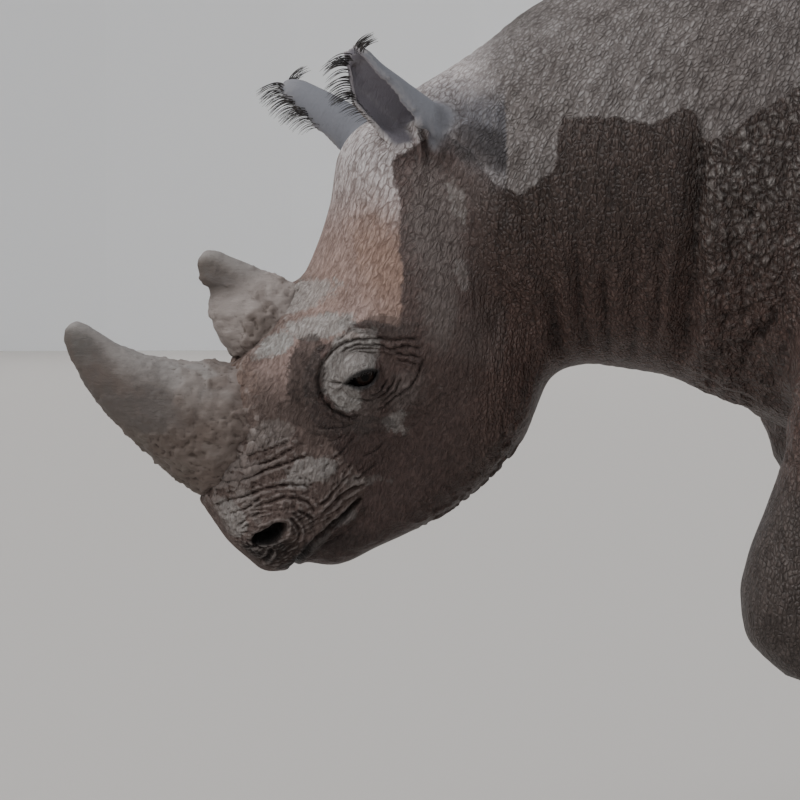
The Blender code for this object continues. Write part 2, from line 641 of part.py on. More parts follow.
def main():
    clear_scene()
    animal = new_collection("black_rhinoceros")
    tools = new_collection("tools")
    hide = new_material("hide", HIDE, 0.8)
    hide_dark = new_material("hide_dark", HIDE_DARK, 0.6)
    horn_stuff = new_material("horn", HORN_GREY, 0.6)
    nail_stuff = new_material("nail", NAIL_GREY, 0.5)
    eye_stuff = new_material("eye", EYE_BROWN, 0.08)

    flesh = make_flesh(animal, tools)
    thin_out(flesh)
    cut_soles(flesh, tools)
    pieces = part_flesh(flesh, tools, animal)

    materials = {}
    for name in pieces:
        materials[name] = hide if name in ("head", "neck", "tail") else hide_dark
    head = pieces["head"]
    for horn in make_horns(head, tools, animal):
        pieces[horn.name] = horn
    for name in EARS:
        pieces[name] = make_ear(name, head, pieces["neck"], tools, animal)
    for name, side in (("eye_left", -1), ("eye_right", 1)):
        pieces[name] = make_eye(name, side, head, tools, animal)
    lower_legs = {
        "front_left": LEFT_SHANK,
        "front_right": RIGHT_FORELEG,
        "rear_left": LEFT_HINDLEG,
        "rear_right": RIGHT_HINDLEG,
    }
    for name, table in lower_legs.items():
        for nail in make_nails(pieces["foot_" + name], name, table, tools, animal):
            pieces[nail.name] = nail

    root = bpy.data.objects.new("rhinoceros_root", None)
    animal.objects.link(root)
    for name, item in pieces.items():
        kind = name.split("_")[0]
        material = {"horn": horn_stuff, "nail": nail_stuff, "eye": eye_stuff, "ear": hide}.get(kind)
        finish(item, material or materials[name], root)
    corners = [vertex.co for item in pieces.values() for vertex in item.data.vertices]
    low = [min(corner[axis] for corner in corners) for axis in range(3)]
    high = [max(corner[axis] for corner in corners) for axis in range(3)]
    root.location = (-(low[0] + high[0]) / 2, -(low[1] + high[1]) / 2, -low[2])


main()
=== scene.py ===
# %% [markdown]
# # A black rhinoceros, walking with its head low
#
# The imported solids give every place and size. This lesson turns them into a living surface: one hide
# without seams, folds and wrinkles that are real geometry, a dust-dry back over a wallow-wet flank, worn
# horns, wet eyes, nails, and the few hairs that a rhinoceros has, on its ears, lids and tail.

import itertools
import math

import bmesh
import bpy
import numpy as np
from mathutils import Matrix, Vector


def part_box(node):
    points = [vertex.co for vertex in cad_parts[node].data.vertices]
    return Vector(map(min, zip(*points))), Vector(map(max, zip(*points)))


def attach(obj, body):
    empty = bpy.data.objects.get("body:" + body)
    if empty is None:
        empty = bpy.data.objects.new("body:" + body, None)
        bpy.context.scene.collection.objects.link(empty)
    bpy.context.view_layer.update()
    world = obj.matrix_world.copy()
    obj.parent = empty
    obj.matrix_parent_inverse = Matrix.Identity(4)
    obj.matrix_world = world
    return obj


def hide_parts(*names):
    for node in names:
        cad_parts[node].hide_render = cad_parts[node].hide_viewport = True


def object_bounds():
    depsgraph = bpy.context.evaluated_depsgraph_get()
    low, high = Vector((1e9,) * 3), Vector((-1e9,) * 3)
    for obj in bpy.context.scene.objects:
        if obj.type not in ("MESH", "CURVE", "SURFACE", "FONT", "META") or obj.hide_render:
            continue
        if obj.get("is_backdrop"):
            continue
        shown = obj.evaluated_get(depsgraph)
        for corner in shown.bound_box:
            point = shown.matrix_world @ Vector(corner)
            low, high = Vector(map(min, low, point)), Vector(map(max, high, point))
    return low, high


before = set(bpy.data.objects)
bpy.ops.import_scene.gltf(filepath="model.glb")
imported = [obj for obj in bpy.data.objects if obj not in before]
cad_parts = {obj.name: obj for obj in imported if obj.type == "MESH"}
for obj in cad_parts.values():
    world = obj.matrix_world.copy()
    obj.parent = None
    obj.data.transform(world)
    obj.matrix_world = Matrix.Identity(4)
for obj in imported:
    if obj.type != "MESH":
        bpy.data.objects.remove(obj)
cad_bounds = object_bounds()
MM = 0.001
print("nodes", len(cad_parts), "box", [round(v, 3) for corner in cad_bounds for v in corner])

# %% [markdown]
# ## Landmarks
# A sculptor measures a head from its eyes, because they stay put while everything round them folds. Places
# on the head are told as three distances from the point midway between the eyes: down the face towards the
# nose, forward out of the forehead, and sideways. A shape that is told without its side is made on both.

# %% Measure the head from the eyes
FACE_TILT = math.radians(66.2)  # how steeply the face slopes down


def unit(vector):
    return vector / np.linalg.norm(vector)


def centre_of(node):
    low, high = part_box(node)
    return np.array((low + high) / 2)


eye_centres = {side: centre_of("eye_" + side) for side in ("left", "right")}
between_eyes = (eye_centres["left"] + eye_centres["right"]) / 2
half_between = np.linalg.norm(eye_centres["right"] - eye_centres["left"]) / 2
eye_low, eye_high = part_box("eye_left")
EYE_RADIUS = (eye_high.z - eye_low.z) / 2
up = np.array((0.0, 0.0, 1.0))
sideways = unit(eye_centres["right"] - eye_centres["left"])
ahead = np.cross(up, sideways)
down_face = ahead * math.cos(FACE_TILT) - up * math.sin(FACE_TILT)
out_of_face = ahead * math.sin(FACE_TILT) + up * math.cos(FACE_TILT)
to_head = np.stack([down_face, out_of_face, sideways], axis=1)


def head_places(points):
    """Down, forward and sideways from the point between the eyes, in metres."""
    return (points - between_eyes) @ to_head


print("eye radius", round(EYE_RADIUS, 4), "half the width between the eyes", round(half_between, 4))

# %% [markdown]
# ## Camera, light and floor
# The camera comes first, so that every later step is judged from the same place. It stands four metres from
# the animal's middle with a long lens, a little over the eye and tipped down by two degrees. The light
# is a plain studio's: a wide glow overhead and a little forward, as from an overcast sky, and a pale round
# room that fills the shadows. The wall is paler than the floor, since less light falls on it, so that both
# look alike.

# %% Place the camera and lights
CAMERA_DISTANCE = 4.0
CAMERA_HEIGHT = 0.9
CAMERA_FROM_NOSE = 0.4256  # behind the foremost point of the model
CAMERA_DIP = math.radians(2.1)
CAMERA_LENS = 138.5
SKY_POWER = 3.1
SKY_SPREAD = math.radians(80)
SKY_FROM = (-0.45, -0.25, 1.0)
SKY_COLOUR = (1.0, 0.985, 0.97)
FILL_PLACE, FILL_AIM = (-4.2, -3.2, 2.2), (-0.9, 0.0, 0.8)
FILL_SIZE, FILL_POWER, FILL_COLOUR = (2.0, 2.0), 30, (1.0, 0.97, 0.94)

camera_data = bpy.data.cameras.new("portrait_camera")
camera_data.lens = CAMERA_LENS
camera = bpy.data.objects.new("portrait_camera", camera_data)
camera.location = (cad_bounds[0].x + CAMERA_FROM_NOSE, -CAMERA_DISTANCE, CAMERA_HEIGHT)
camera.rotation_euler = (math.pi / 2 - CAMERA_DIP, 0, 0)
bpy.context.scene.collection.objects.link(camera)
bpy.context.scene.camera = camera


def add_area_light(name, place, aim, size, power, colour):
    data = bpy.data.lights.new(name, "AREA")
    data.shape = "RECTANGLE"
    data.size, data.size_y = size
    data.energy = power
    data.color = colour
    lamp = bpy.data.objects.new(name, data)
    lamp.location = place
    lamp.rotation_euler = (Vector(aim) - Vector(place)).to_track_quat("-Z", "Y").to_euler()
    bpy.context.scene.collection.objects.link(lamp)


sky_data = bpy.data.lights.new("sky_glow", "SUN")
sky_data.energy = SKY_POWER
sky_data.angle = SKY_SPREAD
sky_data.color = SKY_COLOUR
sky = bpy.data.objects.new("sky_glow", sky_data)
sky.rotation_euler = Vector(SKY_FROM).to_track_quat("Z", "Y").to_euler()
bpy.context.scene.collection.objects.link(sky)
add_area_light("front_fill", FILL_PLACE, FILL_AIM, FILL_SIZE, FILL_POWER, FILL_COLOUR)
print("camera at", tuple(round(v, 3) for v in camera.location))

# %% Build the studio
ROOM_RADIUS, ROOM_HEIGHT = 40, 16
FLOOR_COLOUR, WALL_COLOUR = (0.46, 0.44, 0.42), (0.84, 0.85, 0.86)
GLOW_COLOUR, GLOW_STRENGTH = (0.80, 0.84, 0.90, 1), 0.45


def add_stage(name, colour, build):
    """A matt part of the studio, whose mesh is made by a function."""
    builder = bmesh.new()
    build(builder)
    mesh = bpy.data.meshes.new(name)
    builder.to_mesh(mesh)
    builder.free()
    paint = bpy.data.materials.new(name)
    paint.use_nodes = True
    shader = paint.node_tree.nodes["Principled BSDF"]
    shader.inputs["Base Color"].default_value = (*colour, 1)
    shader.inputs["Roughness"].default_value = 0.9
    mesh.materials.append(paint)
    item = bpy.data.objects.new(name, mesh)
    bpy.context.scene.collection.objects.link(item)
    item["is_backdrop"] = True


def build_floor(builder):
    bmesh.ops.create_circle(builder, cap_ends=True, segments=96, radius=ROOM_RADIUS)


def build_wall(builder):
    bmesh.ops.create_cone(builder, segments=96, radius1=ROOM_RADIUS, radius2=ROOM_RADIUS, depth=ROOM_HEIGHT)
    bmesh.ops.translate(builder, verts=builder.verts, vec=(0, 0, ROOM_HEIGHT / 2))
    bmesh.ops.reverse_faces(builder, faces=builder.faces)


add_stage("studio_floor", FLOOR_COLOUR, build_floor)
add_stage("studio_wall", WALL_COLOUR, build_wall)

room = bpy.data.worlds.new("pale_room")
room.use_nodes = True
room.node_tree.nodes["Background"].inputs["Color"].default_value = GLOW_COLOUR
room.node_tree.nodes["Background"].inputs["Strength"].default_value = GLOW_STRENGTH
bpy.context.scene.world = room
print("a round studio of", ROOM_RADIUS, "m, walls", ROOM_HEIGHT, "m high")

# %% [markdown]
# ## The hide as one surface
# The solids of the flesh meet at thin cuts, and their faces are as wide as a hand. A hide has neither. So
# the pieces are copied, grown by a millimetre until they overlap, and wrapped in one even net of small quads
# by a voxel remesh. The eyeballs go in too, so that the sockets are filled and the lids have a ball to lie
# on. The horns and nails stay out: they sit on the hide.

# %% Wrap the flesh in one net
FLESH = ("head", "neck", "trunk", "tail", "leg", "foot", "ear", "eye")
GROWTH = 1.0 * MM
NET = 5.5 * MM
WELD = 0.01 * MM


def read_points(mesh):
    points = np.empty(len(mesh.vertices) * 3, np.float32)
    mesh.vertices.foreach_get("co", points)
    return points.reshape(-1, 3).astype(float)


def write_points(mesh, points):
    mesh.vertices.foreach_set("co", points.astype(np.float32).ravel())
    mesh.update()


def read_normals(mesh):
    normals = np.empty(len(mesh.vertices) * 3, np.float32)
    mesh.vertex_normals.foreach_get("vector", normals)
    return normals.reshape(-1, 3).astype(float)


def read_edges(mesh):
    edges = np.empty(len(mesh.edges) * 2, np.int32)
    mesh.edges.foreach_get("vertices", edges)
    return edges.reshape(-1, 2)


def bake(item):
    """Turns an object's modifiers into plain mesh."""
    graph = bpy.context.evaluated_depsgraph_get()
    baked = bpy.data.meshes.new_from_object(item.evaluated_get(graph))
    item.modifiers.clear()
    item.data = baked
    return item


def welded_copy(name, nodes, growth=0.0):
    """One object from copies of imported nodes, with their loose triangles joined into closed shells."""
    builder = bmesh.new()
    for node in nodes:
        piece = bmesh.new()
        piece.from_mesh(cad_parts[node].data)
        bmesh.ops.remove_doubles(piece, verts=piece.verts, dist=WELD)
        piece.normal_update()
        for vertex in piece.verts:
            vertex.co += vertex.normal * growth
        shell = bpy.data.meshes.new(node + "_shell")
        piece.to_mesh(shell)
        piece.free()
        builder.from_mesh(shell)
    mesh = bpy.data.meshes.new(name)
    builder.to_mesh(mesh)
    builder.free()
    item = bpy.data.objects.new(name, mesh)
    bpy.context.scene.collection.objects.link(item)
    return item


def remesh(item, voxel):
    net = item.modifiers.new("net", "REMESH")
    net.mode = "VOXEL"
    net.voxel_size = voxel
    return bake(item)


flesh_nodes = sorted(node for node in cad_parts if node.split("_")[0] in FLESH)
hide = remesh(welded_copy("hide", flesh_nodes, GROWTH), NET)
print("net of", len(hide.data.vertices), "points")

# %% [markdown]
# ## Relaxing the net
# The net still shows the flat faces under it. Averaging each point with its neighbours, many times, irons
# them out, but it also shrinks a leg like a candle in the sun. The cure is to iron what was lost as well, and
# to add that back: wide curves keep their place, and only small ripples go. The trunk is ironed hard, the
# head lightly, and the thin ears hardly at all.

# %% Iron out the flat faces
IRONING_ROUNDS = 280
IRON_TRUNK, IRON_LEGS, IRON_HEAD, IRON_EARS = 1.0, 0.30, 0.075, 0.016


def step_up(value, start, end):
    """0 before start, 1 after end, and a smooth climb between."""
    t = np.clip((value - start) / (end - start), 0, 1)
    return t * t * (3 - 2 * t)


def inside(points, node, margin):
    """1 in a node's box and 0 further off than the margin."""
    low, high = (np.array(corner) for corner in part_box(node))
    away = np.maximum(np.maximum(low - points, points - high), 0)
    return 1 - step_up(np.linalg.norm(away, axis=1), 0, margin)


def pressed(item, shape, group, rounds):
    """Gives the object's points a shape, and tells where smoothing would take them."""
    write_points(item.data, shape)
    press = item.modifiers.new("press", "SMOOTH")
    press.factor = 1.0
    press.iterations = rounds
    press.vertex_group = group.name
    graph = bpy.context.evaluated_depsgraph_get()
    smooth = read_points(item.evaluated_get(graph).data)
    item.modifiers.clear()
    return smooth


def iron(item, weights, rounds):
    """Smooths an object's points, each by its own weight, and gives back what that shrank."""
    group = item.vertex_groups.new(name="iron")
    levels = np.round(weights, 3)
    for level in np.unique(levels):
        group.add(np.nonzero(levels == level)[0].tolist(), float(level), "REPLACE")
    points = read_points(item.data)
    smooth = pressed(item, points, group, rounds)
    lost = pressed(item, points - smooth, group, rounds)
    item.vertex_groups.clear()
    write_points(item.data, smooth + lost)


points = read_points(hide.data)
in_head = inside(points, "head", 60 * MM) * step_up(-points[:, 0], 0.80, 0.95)
in_ear = np.maximum(inside(points, "ear_left", 12 * MM), inside(points, "ear_right", 12 * MM))
in_leg = 1 - step_up(points[:, 2], 0.45, 0.75)
weights = IRON_TRUNK + (IRON_LEGS - IRON_TRUNK) * in_leg
weights = weights + (IRON_HEAD - weights) * in_head
weights = weights + (IRON_EARS - weights) * in_ear
iron(hide, weights, IRONING_ROUNDS)
move = np.linalg.norm(read_points(hide.data) - points, axis=1)
print("ironed, mean move", round(float(move.mean() / MM), 2), "mm")

# %% [markdown]
# ## Finer net where the skin is fine
# Wrinkles need points to bend. Subdividing the whole animal would waste them on the belly, so only edges on
# the head are halved, and those round the eyes, the nostrils and the mouth are halved again.

# %% Halve the edges of the face
def refine(item, chosen):
    """Halves each edge whose two ends are chosen."""
    builder = bmesh.new()
    builder.from_mesh(item.data)
    edges = [edge for edge in builder.edges if all(chosen[end.index] for end in edge.verts)]
    bmesh.ops.subdivide_edges(builder, edges=edges, cuts=1, use_grid_fill=True)
    builder.to_mesh(item.data)
    builder.free()


def near_eye(places, reach):
    """True beside either eye, within the reach."""
    beside = np.abs(places[:, 2]) > 0.5 * half_between
    return (np.hypot(places[:, 0], places[:, 1]) < reach) & beside


points = read_points(hide.data)
on_head = (points[:, 0] < eye_centres["left"][0] + 0.20) & (points[:, 2] > 0.4)
refine(hide, on_head)
places = head_places(read_points(hide.data))
beside_mouth = (places[:, 0] > 190 * MM) & (np.abs(places[:, 2]) > 25 * MM) & (np.abs(places[:, 2]) < 0.2)
beside_mouth &= (places[:, 1] < 60 * MM) & (places[:, 1] > -80 * MM)
refine(hide, near_eye(places, 58 * MM) | beside_mouth)
print("refined to", len(hide.data.vertices), "points")

# %% [markdown]
# ## Tools for modelling in code
# Three tools do nearly all the work, as thumb, wire and rake do in clay. `swell` raises or sinks a soft
# round patch. `furrow` draws a groove along a smooth line through a few knots, with a raised lip on both
# sides, and it can let one side hang over as a fold of heavy skin does. `pleats` rakes rows of fine creases.
# Noise, made from hashed lattice points, keeps them all from looking ruled.

# %% Make the thumb, wire and rake
def lattice_hash(cells, seed):
    """A number from 0 to 1 for each whole-numbered cell, always the same for the same cell and seed."""
    cells = cells.astype(np.uint32)
    mixed = cells[:, 0] * np.uint32(374761393) + cells[:, 1] * np.uint32(668265263)
    mixed = mixed + cells[:, 2] * np.uint32(2246822519) + np.uint32(seed * 3266489917 % 2**32)
    mixed = (mixed ^ (mixed >> np.uint32(13))) * np.uint32(1274126177)
    return ((mixed ^ (mixed >> np.uint32(16))) & np.uint32(0xFFFFFF)) / float(0xFFFFFF)


def noise(points, size, seed):
    """Smooth noise from -1 to 1, with lumps of about the given size."""
    lattice = points / size + 4096.0
    corner = np.floor(lattice)
    part = lattice - corner
    part = part * part * (3 - 2 * part)
    total = np.zeros(len(points))
    for step in itertools.product((0, 1), repeat=3):
        share = np.prod(np.where(step, part, 1 - part), axis=1)
        total += share * lattice_hash((corner + step).astype(np.int64), seed)
    return total * 2 - 1


def layered_noise(points, size, seed, layers=3):
    """Noise with smaller and fainter noise on top of it."""
    return sum(noise(points, size / 2**k, seed + k) / 2**k for k in range(layers))


def smooth_line(knots, step):
    """Points along a smooth curve through the knots, and how far along each is, from 0 to 1."""
    knots = np.array(knots, float)
    padded = np.vstack([2 * knots[0] - knots[1], knots, 2 * knots[-1] - knots[-2]])
    line = []
    for before, start, end, after in zip(padded, padded[1:], padded[2:], padded[3:]):
        count = max(2, int(np.linalg.norm(end - start) / step))
        t = np.arange(count)[:, None] / count
        curve = 2 * start + (end - before) * t + (2 * before - 5 * start + 4 * end - after) * t**2
        line.append((curve + (3 * start - before - 3 * end + after) * t**3) / 2)
    line.append(knots[-1:])
    line = np.vstack(line)
    return line, np.linspace(0, 1, len(line))


def beside_line(flat, knots, reach):
    """The points within reach of a line: which, how far off, on which side, and how far along."""
    line, along = smooth_line(knots, max(reach / 12, 0.8 * MM))
    near = np.nonzero(np.all((flat > line.min(0) - reach) & (flat < line.max(0) + reach), axis=1))[0]
    closest = np.full(len(near), np.inf)
    nearest = np.zeros(len(near), int)
    for i, knot in enumerate(line):
        gap = (flat[near, 0] - knot[0]) ** 2 + (flat[near, 1] - knot[1]) ** 2
        better = gap < closest
        closest[better] = gap[better]
        nearest[better] = i
    direction = np.gradient(line, axis=0)[nearest]
    offset = flat[near] - line[nearest]
    turn = direction[:, 0] * offset[:, 1] - direction[:, 1] * offset[:, 0]
    return near, np.sqrt(closest), np.sign(turn), along[nearest]


def furrow(flat, knots, width, depth, lip=0.35, hang=0.0, fade=0.25):
    """Height of a groove along a line, with its lips. Hang raises the side on the line's left."""
    height = np.zeros(len(flat))
    near, away, hand, along = beside_line(flat, knots, 7 * width)
    strength = step_up(np.minimum(along, 1 - along), -0.02, fade)
    groove = -depth * np.exp(-((away / width) ** 2))
    lips = lip * depth * np.exp(-(((away - 2.1 * width) / width) ** 2))
    curtain = hang * np.exp(-((away / (3.2 * width)) ** 2)) * step_up(hand * away, -0.2 * width, width)
    height[near] = (groove + lips + curtain) * strength
    return height


def swell(flat, place, reach, height, turn=0.0):
    """Height of a soft round patch. Reach may be one size or two, and turn sets it at an angle."""
    reach = np.broadcast_to(reach, 2)
    offset = flat - np.array(place)
    c, s = math.cos(turn), math.sin(turn)
    u = (offset[:, 0] * c + offset[:, 1] * s) / reach[0]
    v = (offset[:, 1] * c - offset[:, 0] * s) / reach[1]
    return height * np.exp(-(u * u) - v * v)


def distance_inside(flat, outline, step):
    """Depth inside a closed outline, or minus the distance outside it."""
    knots, _ = smooth_line(np.vstack([outline, outline[:1]]), step)
    crossings = np.zeros(len(flat), int)
    gap = np.full(len(flat), np.inf)
    for one, other in zip(knots, knots[1:]):
        run = other - one
        share = np.clip(((flat - one) @ run) / max(run @ run, 1e-12), 0, 1)
        gap = np.minimum(gap, np.linalg.norm(flat - one - share[:, None] * run, axis=1))
        spans = (one[1] > flat[:, 1]) != (other[1] > flat[:, 1])
        if spans.any():
            cut = one[0] + (flat[spans, 1] - one[1]) * run[0] / run[1]
            crossings[np.nonzero(spans)[0]] += flat[spans, 0] < cut
    return gap * np.where(crossings % 2, 1, -1)


def pleats(points, across, spacing, seed, wander=0.6, sharpness=2.5):
    """Rows of creases: 0 on the ridges and -1 in the creases, which wander and fade in and out."""
    phase = points @ unit(np.array(across, float)) / spacing
    phase = phase + wander * noise(points, 4 * spacing, seed)
    phase = phase + 0.4 * wander * noise(points, 1.5 * spacing, seed + 1)
    crease = np.abs(2 * (phase - np.floor(phase)) - 1) ** sharpness
    return -crease * step_up(noise(points, 3.5 * spacing, seed + 2), -0.7, 0.3)


def read_hide():
    """The hide's points, their normals, and their places on the head."""
    points = read_points(hide.data)
    return points, read_normals(hide.data), head_places(points)


def raise_hide(height):
    """Moves each point of the hide along its normal."""
    points, normals, _ = read_hide()
    write_points(hide.data, points + normals * height[:, None])


# %% [markdown]
# ## The eye and its lids
# A rhinoceros sees sideways, from under a thick ring of folds. The lids are sheets of skin that slide on
# the ball, so they are modelled as a slightly larger ball that rises out of the cheek. The slit between them
# is an almond, set at a slant. Points inside the almond are pushed behind the eyeball, and the skin round it
# swells a little, so that the lids end in an edge with some thickness.

# %% Raise the lids and open the slit
LID_THICKNESS = 3.0 * MM
SLIT_CENTRE = (6.6 * MM, 3.0 * MM)  # down and forward from the middle of the ball
SLIT_SLANT = math.radians(45)  # from the line down the face
SLIT_HALF_LENGTH = 22.0 * MM
SLIT_RISE = 7.0 * MM
SLIT_DROP = 13.0 * MM
LID_REACH = 31 * MM  # how far the lids spread over the cheek
SOCKET_DEPTH = 6.0 * MM


def slit_places(flat):
    """Along the slit towards its outer corner, and across it towards the brow."""
    offset = flat - np.array(SLIT_CENTRE)
    c, s = math.cos(SLIT_SLANT), math.sin(SLIT_SLANT)
    return -offset[:, 0] * c - offset[:, 1] * s, offset[:, 1] * c - offset[:, 0] * s


def outside_slit(flat):
    """Distance over the upper rim or under the lower rim of the slit; negative between them."""
    along, across = slit_places(flat)
    reach = np.clip(np.abs(along) / SLIT_HALF_LENGTH, 0, 1)
    upper = SLIT_RISE * (1 - reach**2.6)
    lower = -SLIT_DROP * (1 - reach**2.2)
    beyond = np.maximum(np.abs(along) - SLIT_HALF_LENGTH, 0)
    between = (across > lower) & (across < upper)
    return np.hypot(np.maximum(across - upper, lower - across), beyond) * np.where(between, -1, 1)


def smooth_max(one, other, softness):
    blend = np.clip(0.5 + 0.5 * (one - other) / softness, 0, 1)
    return other * (1 - blend) + one * blend + softness * blend * (1 - blend)


points, normals, places = read_hide()
chosen = np.nonzero(near_eye(places, 62 * MM))[0]
flat = places[chosen, :2]
hand = np.sign(places[chosen, 2])
out = np.abs(places[chosen, 2]) - half_between
radius = np.hypot(flat[:, 0], flat[:, 1])
out = out + 0.26 * flat[:, 0] * (1 - step_up(radius, 25 * MM, 60 * MM))
lid = (EYE_RADIUS + LID_THICKNESS) * np.sqrt(np.maximum(1 - (radius / LID_REACH) ** 2, 0))
lid -= 30 * MM * step_up(radius, 0.97 * LID_REACH, 1.3 * LID_REACH)
out = smooth_max(lid, out - 3.0 * MM * np.exp(-((radius / (34 * MM)) ** 4)), 3 * MM)
gap = outside_slit(flat)
out += 0.9 * MM * np.exp(-(((gap - 1.6 * MM) / (1.2 * MM)) ** 2)) * (gap > 0)
ball = np.sqrt(np.maximum(EYE_RADIUS**2 - radius**2, 0)) - SOCKET_DEPTH
out = np.where(gap < -0.8 * MM, np.minimum(ball, out - SOCKET_DEPTH), out)
places[chosen, 2] = hand * (out + half_between)
write_points(hide.data, between_eyes + places @ to_head.T)
print("lids over", int((gap < 0).sum()), "points of slit")

# %% [markdown]
# The folds round the eye are arcs of nearly even radius, so each is told by the angles where it starts and
# ends and a few radii between, in millimetres from the middle of the ball. Angles turn from the front of the
# face up over the brow. The short lines behind the eye and at its inner corner are told by their knots.

# %% Fold the skin round the eyes
EYE_FOLDS = (
    # start, end, radii, width, depth
    (104, -20, (52, 46, 44, 46, 49, 56), 2.0, 3.4),
    (-5, -120, (53, 57, 58, 57, 54), 2.3, 4.2),
    (-132, -190, (52, 49, 50, 57), 2.0, 3.2),
    (182, 138, (57, 60, 66, 74), 1.9, 3.2),
    (22, 84, (51, 55, 58, 55), 1.9, 1.6),
    (18, 122, (40, 38.5, 37.5, 38, 41, 49), 1.6, 3.4),
    (26, 112, (35, 33.5, 32, 33, 36, 43), 1.4, 1.8),
    (42, 100, (28.5, 26, 25.5, 27, 31), 1.2, 1.2),
    (-88, -212, (33, 32, 33, 37, 38), 1.9, 3.0),
    (-116, -196, (25, 26.5, 28, 30), 1.4, 1.6),
    (-146, -200, (44, 43, 46), 1.8, 2.2),
)
TEMPLE_LINES = (
    ((-46, -6), (-58, -24), (-66, -42)),
    ((-42, -14), (-52, -32), (-57, -50)),
    ((-36, -20), (-42, -36), (-46, -54)),
    ((-30, -26), (-35, -42), (-37, -58)),
    ((20, 19), (24, 26), (26, 36)),
)


def round_eye(start, end, radii):
    """Knots on an arc round the eye, as places down and forward."""
    turns = np.radians(np.linspace(start, end, len(radii)))
    reach = np.array(radii) * MM
    return np.stack([-reach * np.sin(turns), reach * np.cos(turns)], axis=1)


points, normals, places = read_hide()
chosen = near_eye(places, 90 * MM)
flat = places[chosen, :2]
height = swell(flat, (-8 * MM, 20 * MM), (30 * MM, 22 * MM), 3.0 * MM)
height += swell(flat, (30 * MM, 0), (22 * MM, 30 * MM), 2.5 * MM)
for start, end, radii, width, depth in EYE_FOLDS:
    height += furrow(flat, round_eye(start, end, radii), width * MM, depth * MM, lip=0.45, fade=0.2)
for knots in TEMPLE_LINES:
    height += furrow(flat, np.array(knots) * MM, 1.8 * MM, 2.8 * MM, lip=0.4)
moved = np.zeros(len(points))
moved[chosen] = height
raise_hide(moved)
folds = len(EYE_FOLDS) + len(TEMPLE_LINES)
print(folds, "folds round each eye, up to", round(-height.min() / MM, 1), "mm deep")

# %% [markdown]
# ## Muzzle, nostril and mouth
# The nose of a black rhinoceros ends in a soft, pointed upper lip that picks leaves. Its skin is thrown into
# deep parallel wrinkles that climb from the horn's base towards the cheek, and raked pleats fill the room
# between them. The mouth is one long furrow whose upper side hangs over it, and it gapes a little in front,
# behind the swollen lip. All are told by knots down and forward of the eye, in millimetres.

# %% Wrinkle the muzzle
MOUTH = (
    (250, -28), (240, -29), (229, -31), (218, -34), (205, -41),
    (189, -51), (173, -59), (157, -66), (140, -74),
)
MOUTH_FRONT = ((278, -41), (260, -36), (245, -33), (231, -33), (216, -37))
MUZZLE_FOLDS = (
    # knots, width, depth
    (((214, 122), (207, 116), (177, 95), (153, 66), (127, 44), (105, 28)), 2.6, 4.6),
    (((218, 112), (193, 95), (179, 76), (162, 62), (145, 44), (124, 21), (112, 8)), 2.6, 4.8),
    (((229, 96), (214, 84), (201, 70), (189, 59), (174, 42), (165, 27), (157, 5), (150, -10)), 2.8, 5.2),
    (((232, 78), (221, 68), (211, 59), (197, 53), (184, 46)), 2.4, 3.6),
    (((205, 45), (199, 43), (182, 25), (176, 8), (176, -9), (186, -25)), 2.6, 4.4),
    (((189, 9), (190, -8), (192, -24)), 2.2, 3.0),
    (((192, -22), (185, -28), (170, -35), (147, -47), (135, -56), (118, -72)), 3.2, 6.0),
    (((176, -17), (165, -26), (146, -32), (120, -42)), 2.4, 3.6),
    (((186, 116), (157, 90), (139, 72), (119, 52), (100, 38)), 2.2, 3.4),
    (((196, 106), (168, 80), (146, 58), (128, 36)), 1.8, 2.6),
    (((168, 100), (146, 84), (128, 68)), 1.8, 2.4),
    (((205, 76), (190, 68), (178, 56), (166, 42)), 1.7, 2.4),
    (((238, -6), (226, -12), (213, -11), (204, 1), (201, 14)), 2.4, 3.6),
    (((244, 58), (232, 56), (220, 50), (208, 38)), 2.0, 2.8),
    (((250, 40), (246, 20), (246, 4)), 2.0, 2.2),
    (((150, -20), (138, -30), (120, -36), (98, -40)), 2.0, 2.6),
    (((118, -6), (104, -18), (86, -24), (66, -26)), 2.2, 3.0),
    (((98, -44), (84, -58), (66, -66)), 2.2, 2.6),
    (((128, -50), (112, -60), (92, -70)), 2.2, 2.6),
    (((86, 30), (80, 8), (70, -10), (56, -22)), 2.0, 2.4),
    (((104, 20), (94, 0), (80, -14)), 1.8, 2.2),
    (((230, -46), (212, -58), (190, -72), (170, -84)), 2.2, 2.4),
)
MUZZLE_SWELLS = (
    # place, reach, height, turn in degrees: the nostril's brow and rim, the bridge, and over the mouth
    ((225, 18), (30, 34), 7, 0),
    ((243, 30), (22, 30), 4, 0),
    ((134, -2), (20, 34), 5, 35),
    ((205, -22), (34, 12), 4, 25),
)
LIP_SWELLS = (
    ((266, -3), (20, 15), 7, 0),
    ((252, -15), (10, 10), 4, 0),
)
NOSTRIL_TAIL = ((240, 12), (249, 8), (259, 9), (266, 14))


def swells(flat, rows):
    """Height of several soft patches, told in millimetres and degrees."""
    height = np.zeros(len(flat))
    for place, reach, rise, turn in rows:
        height += swell(flat, np.array(place) * MM, np.array(reach) * MM, rise * MM, math.radians(turn))
    return height


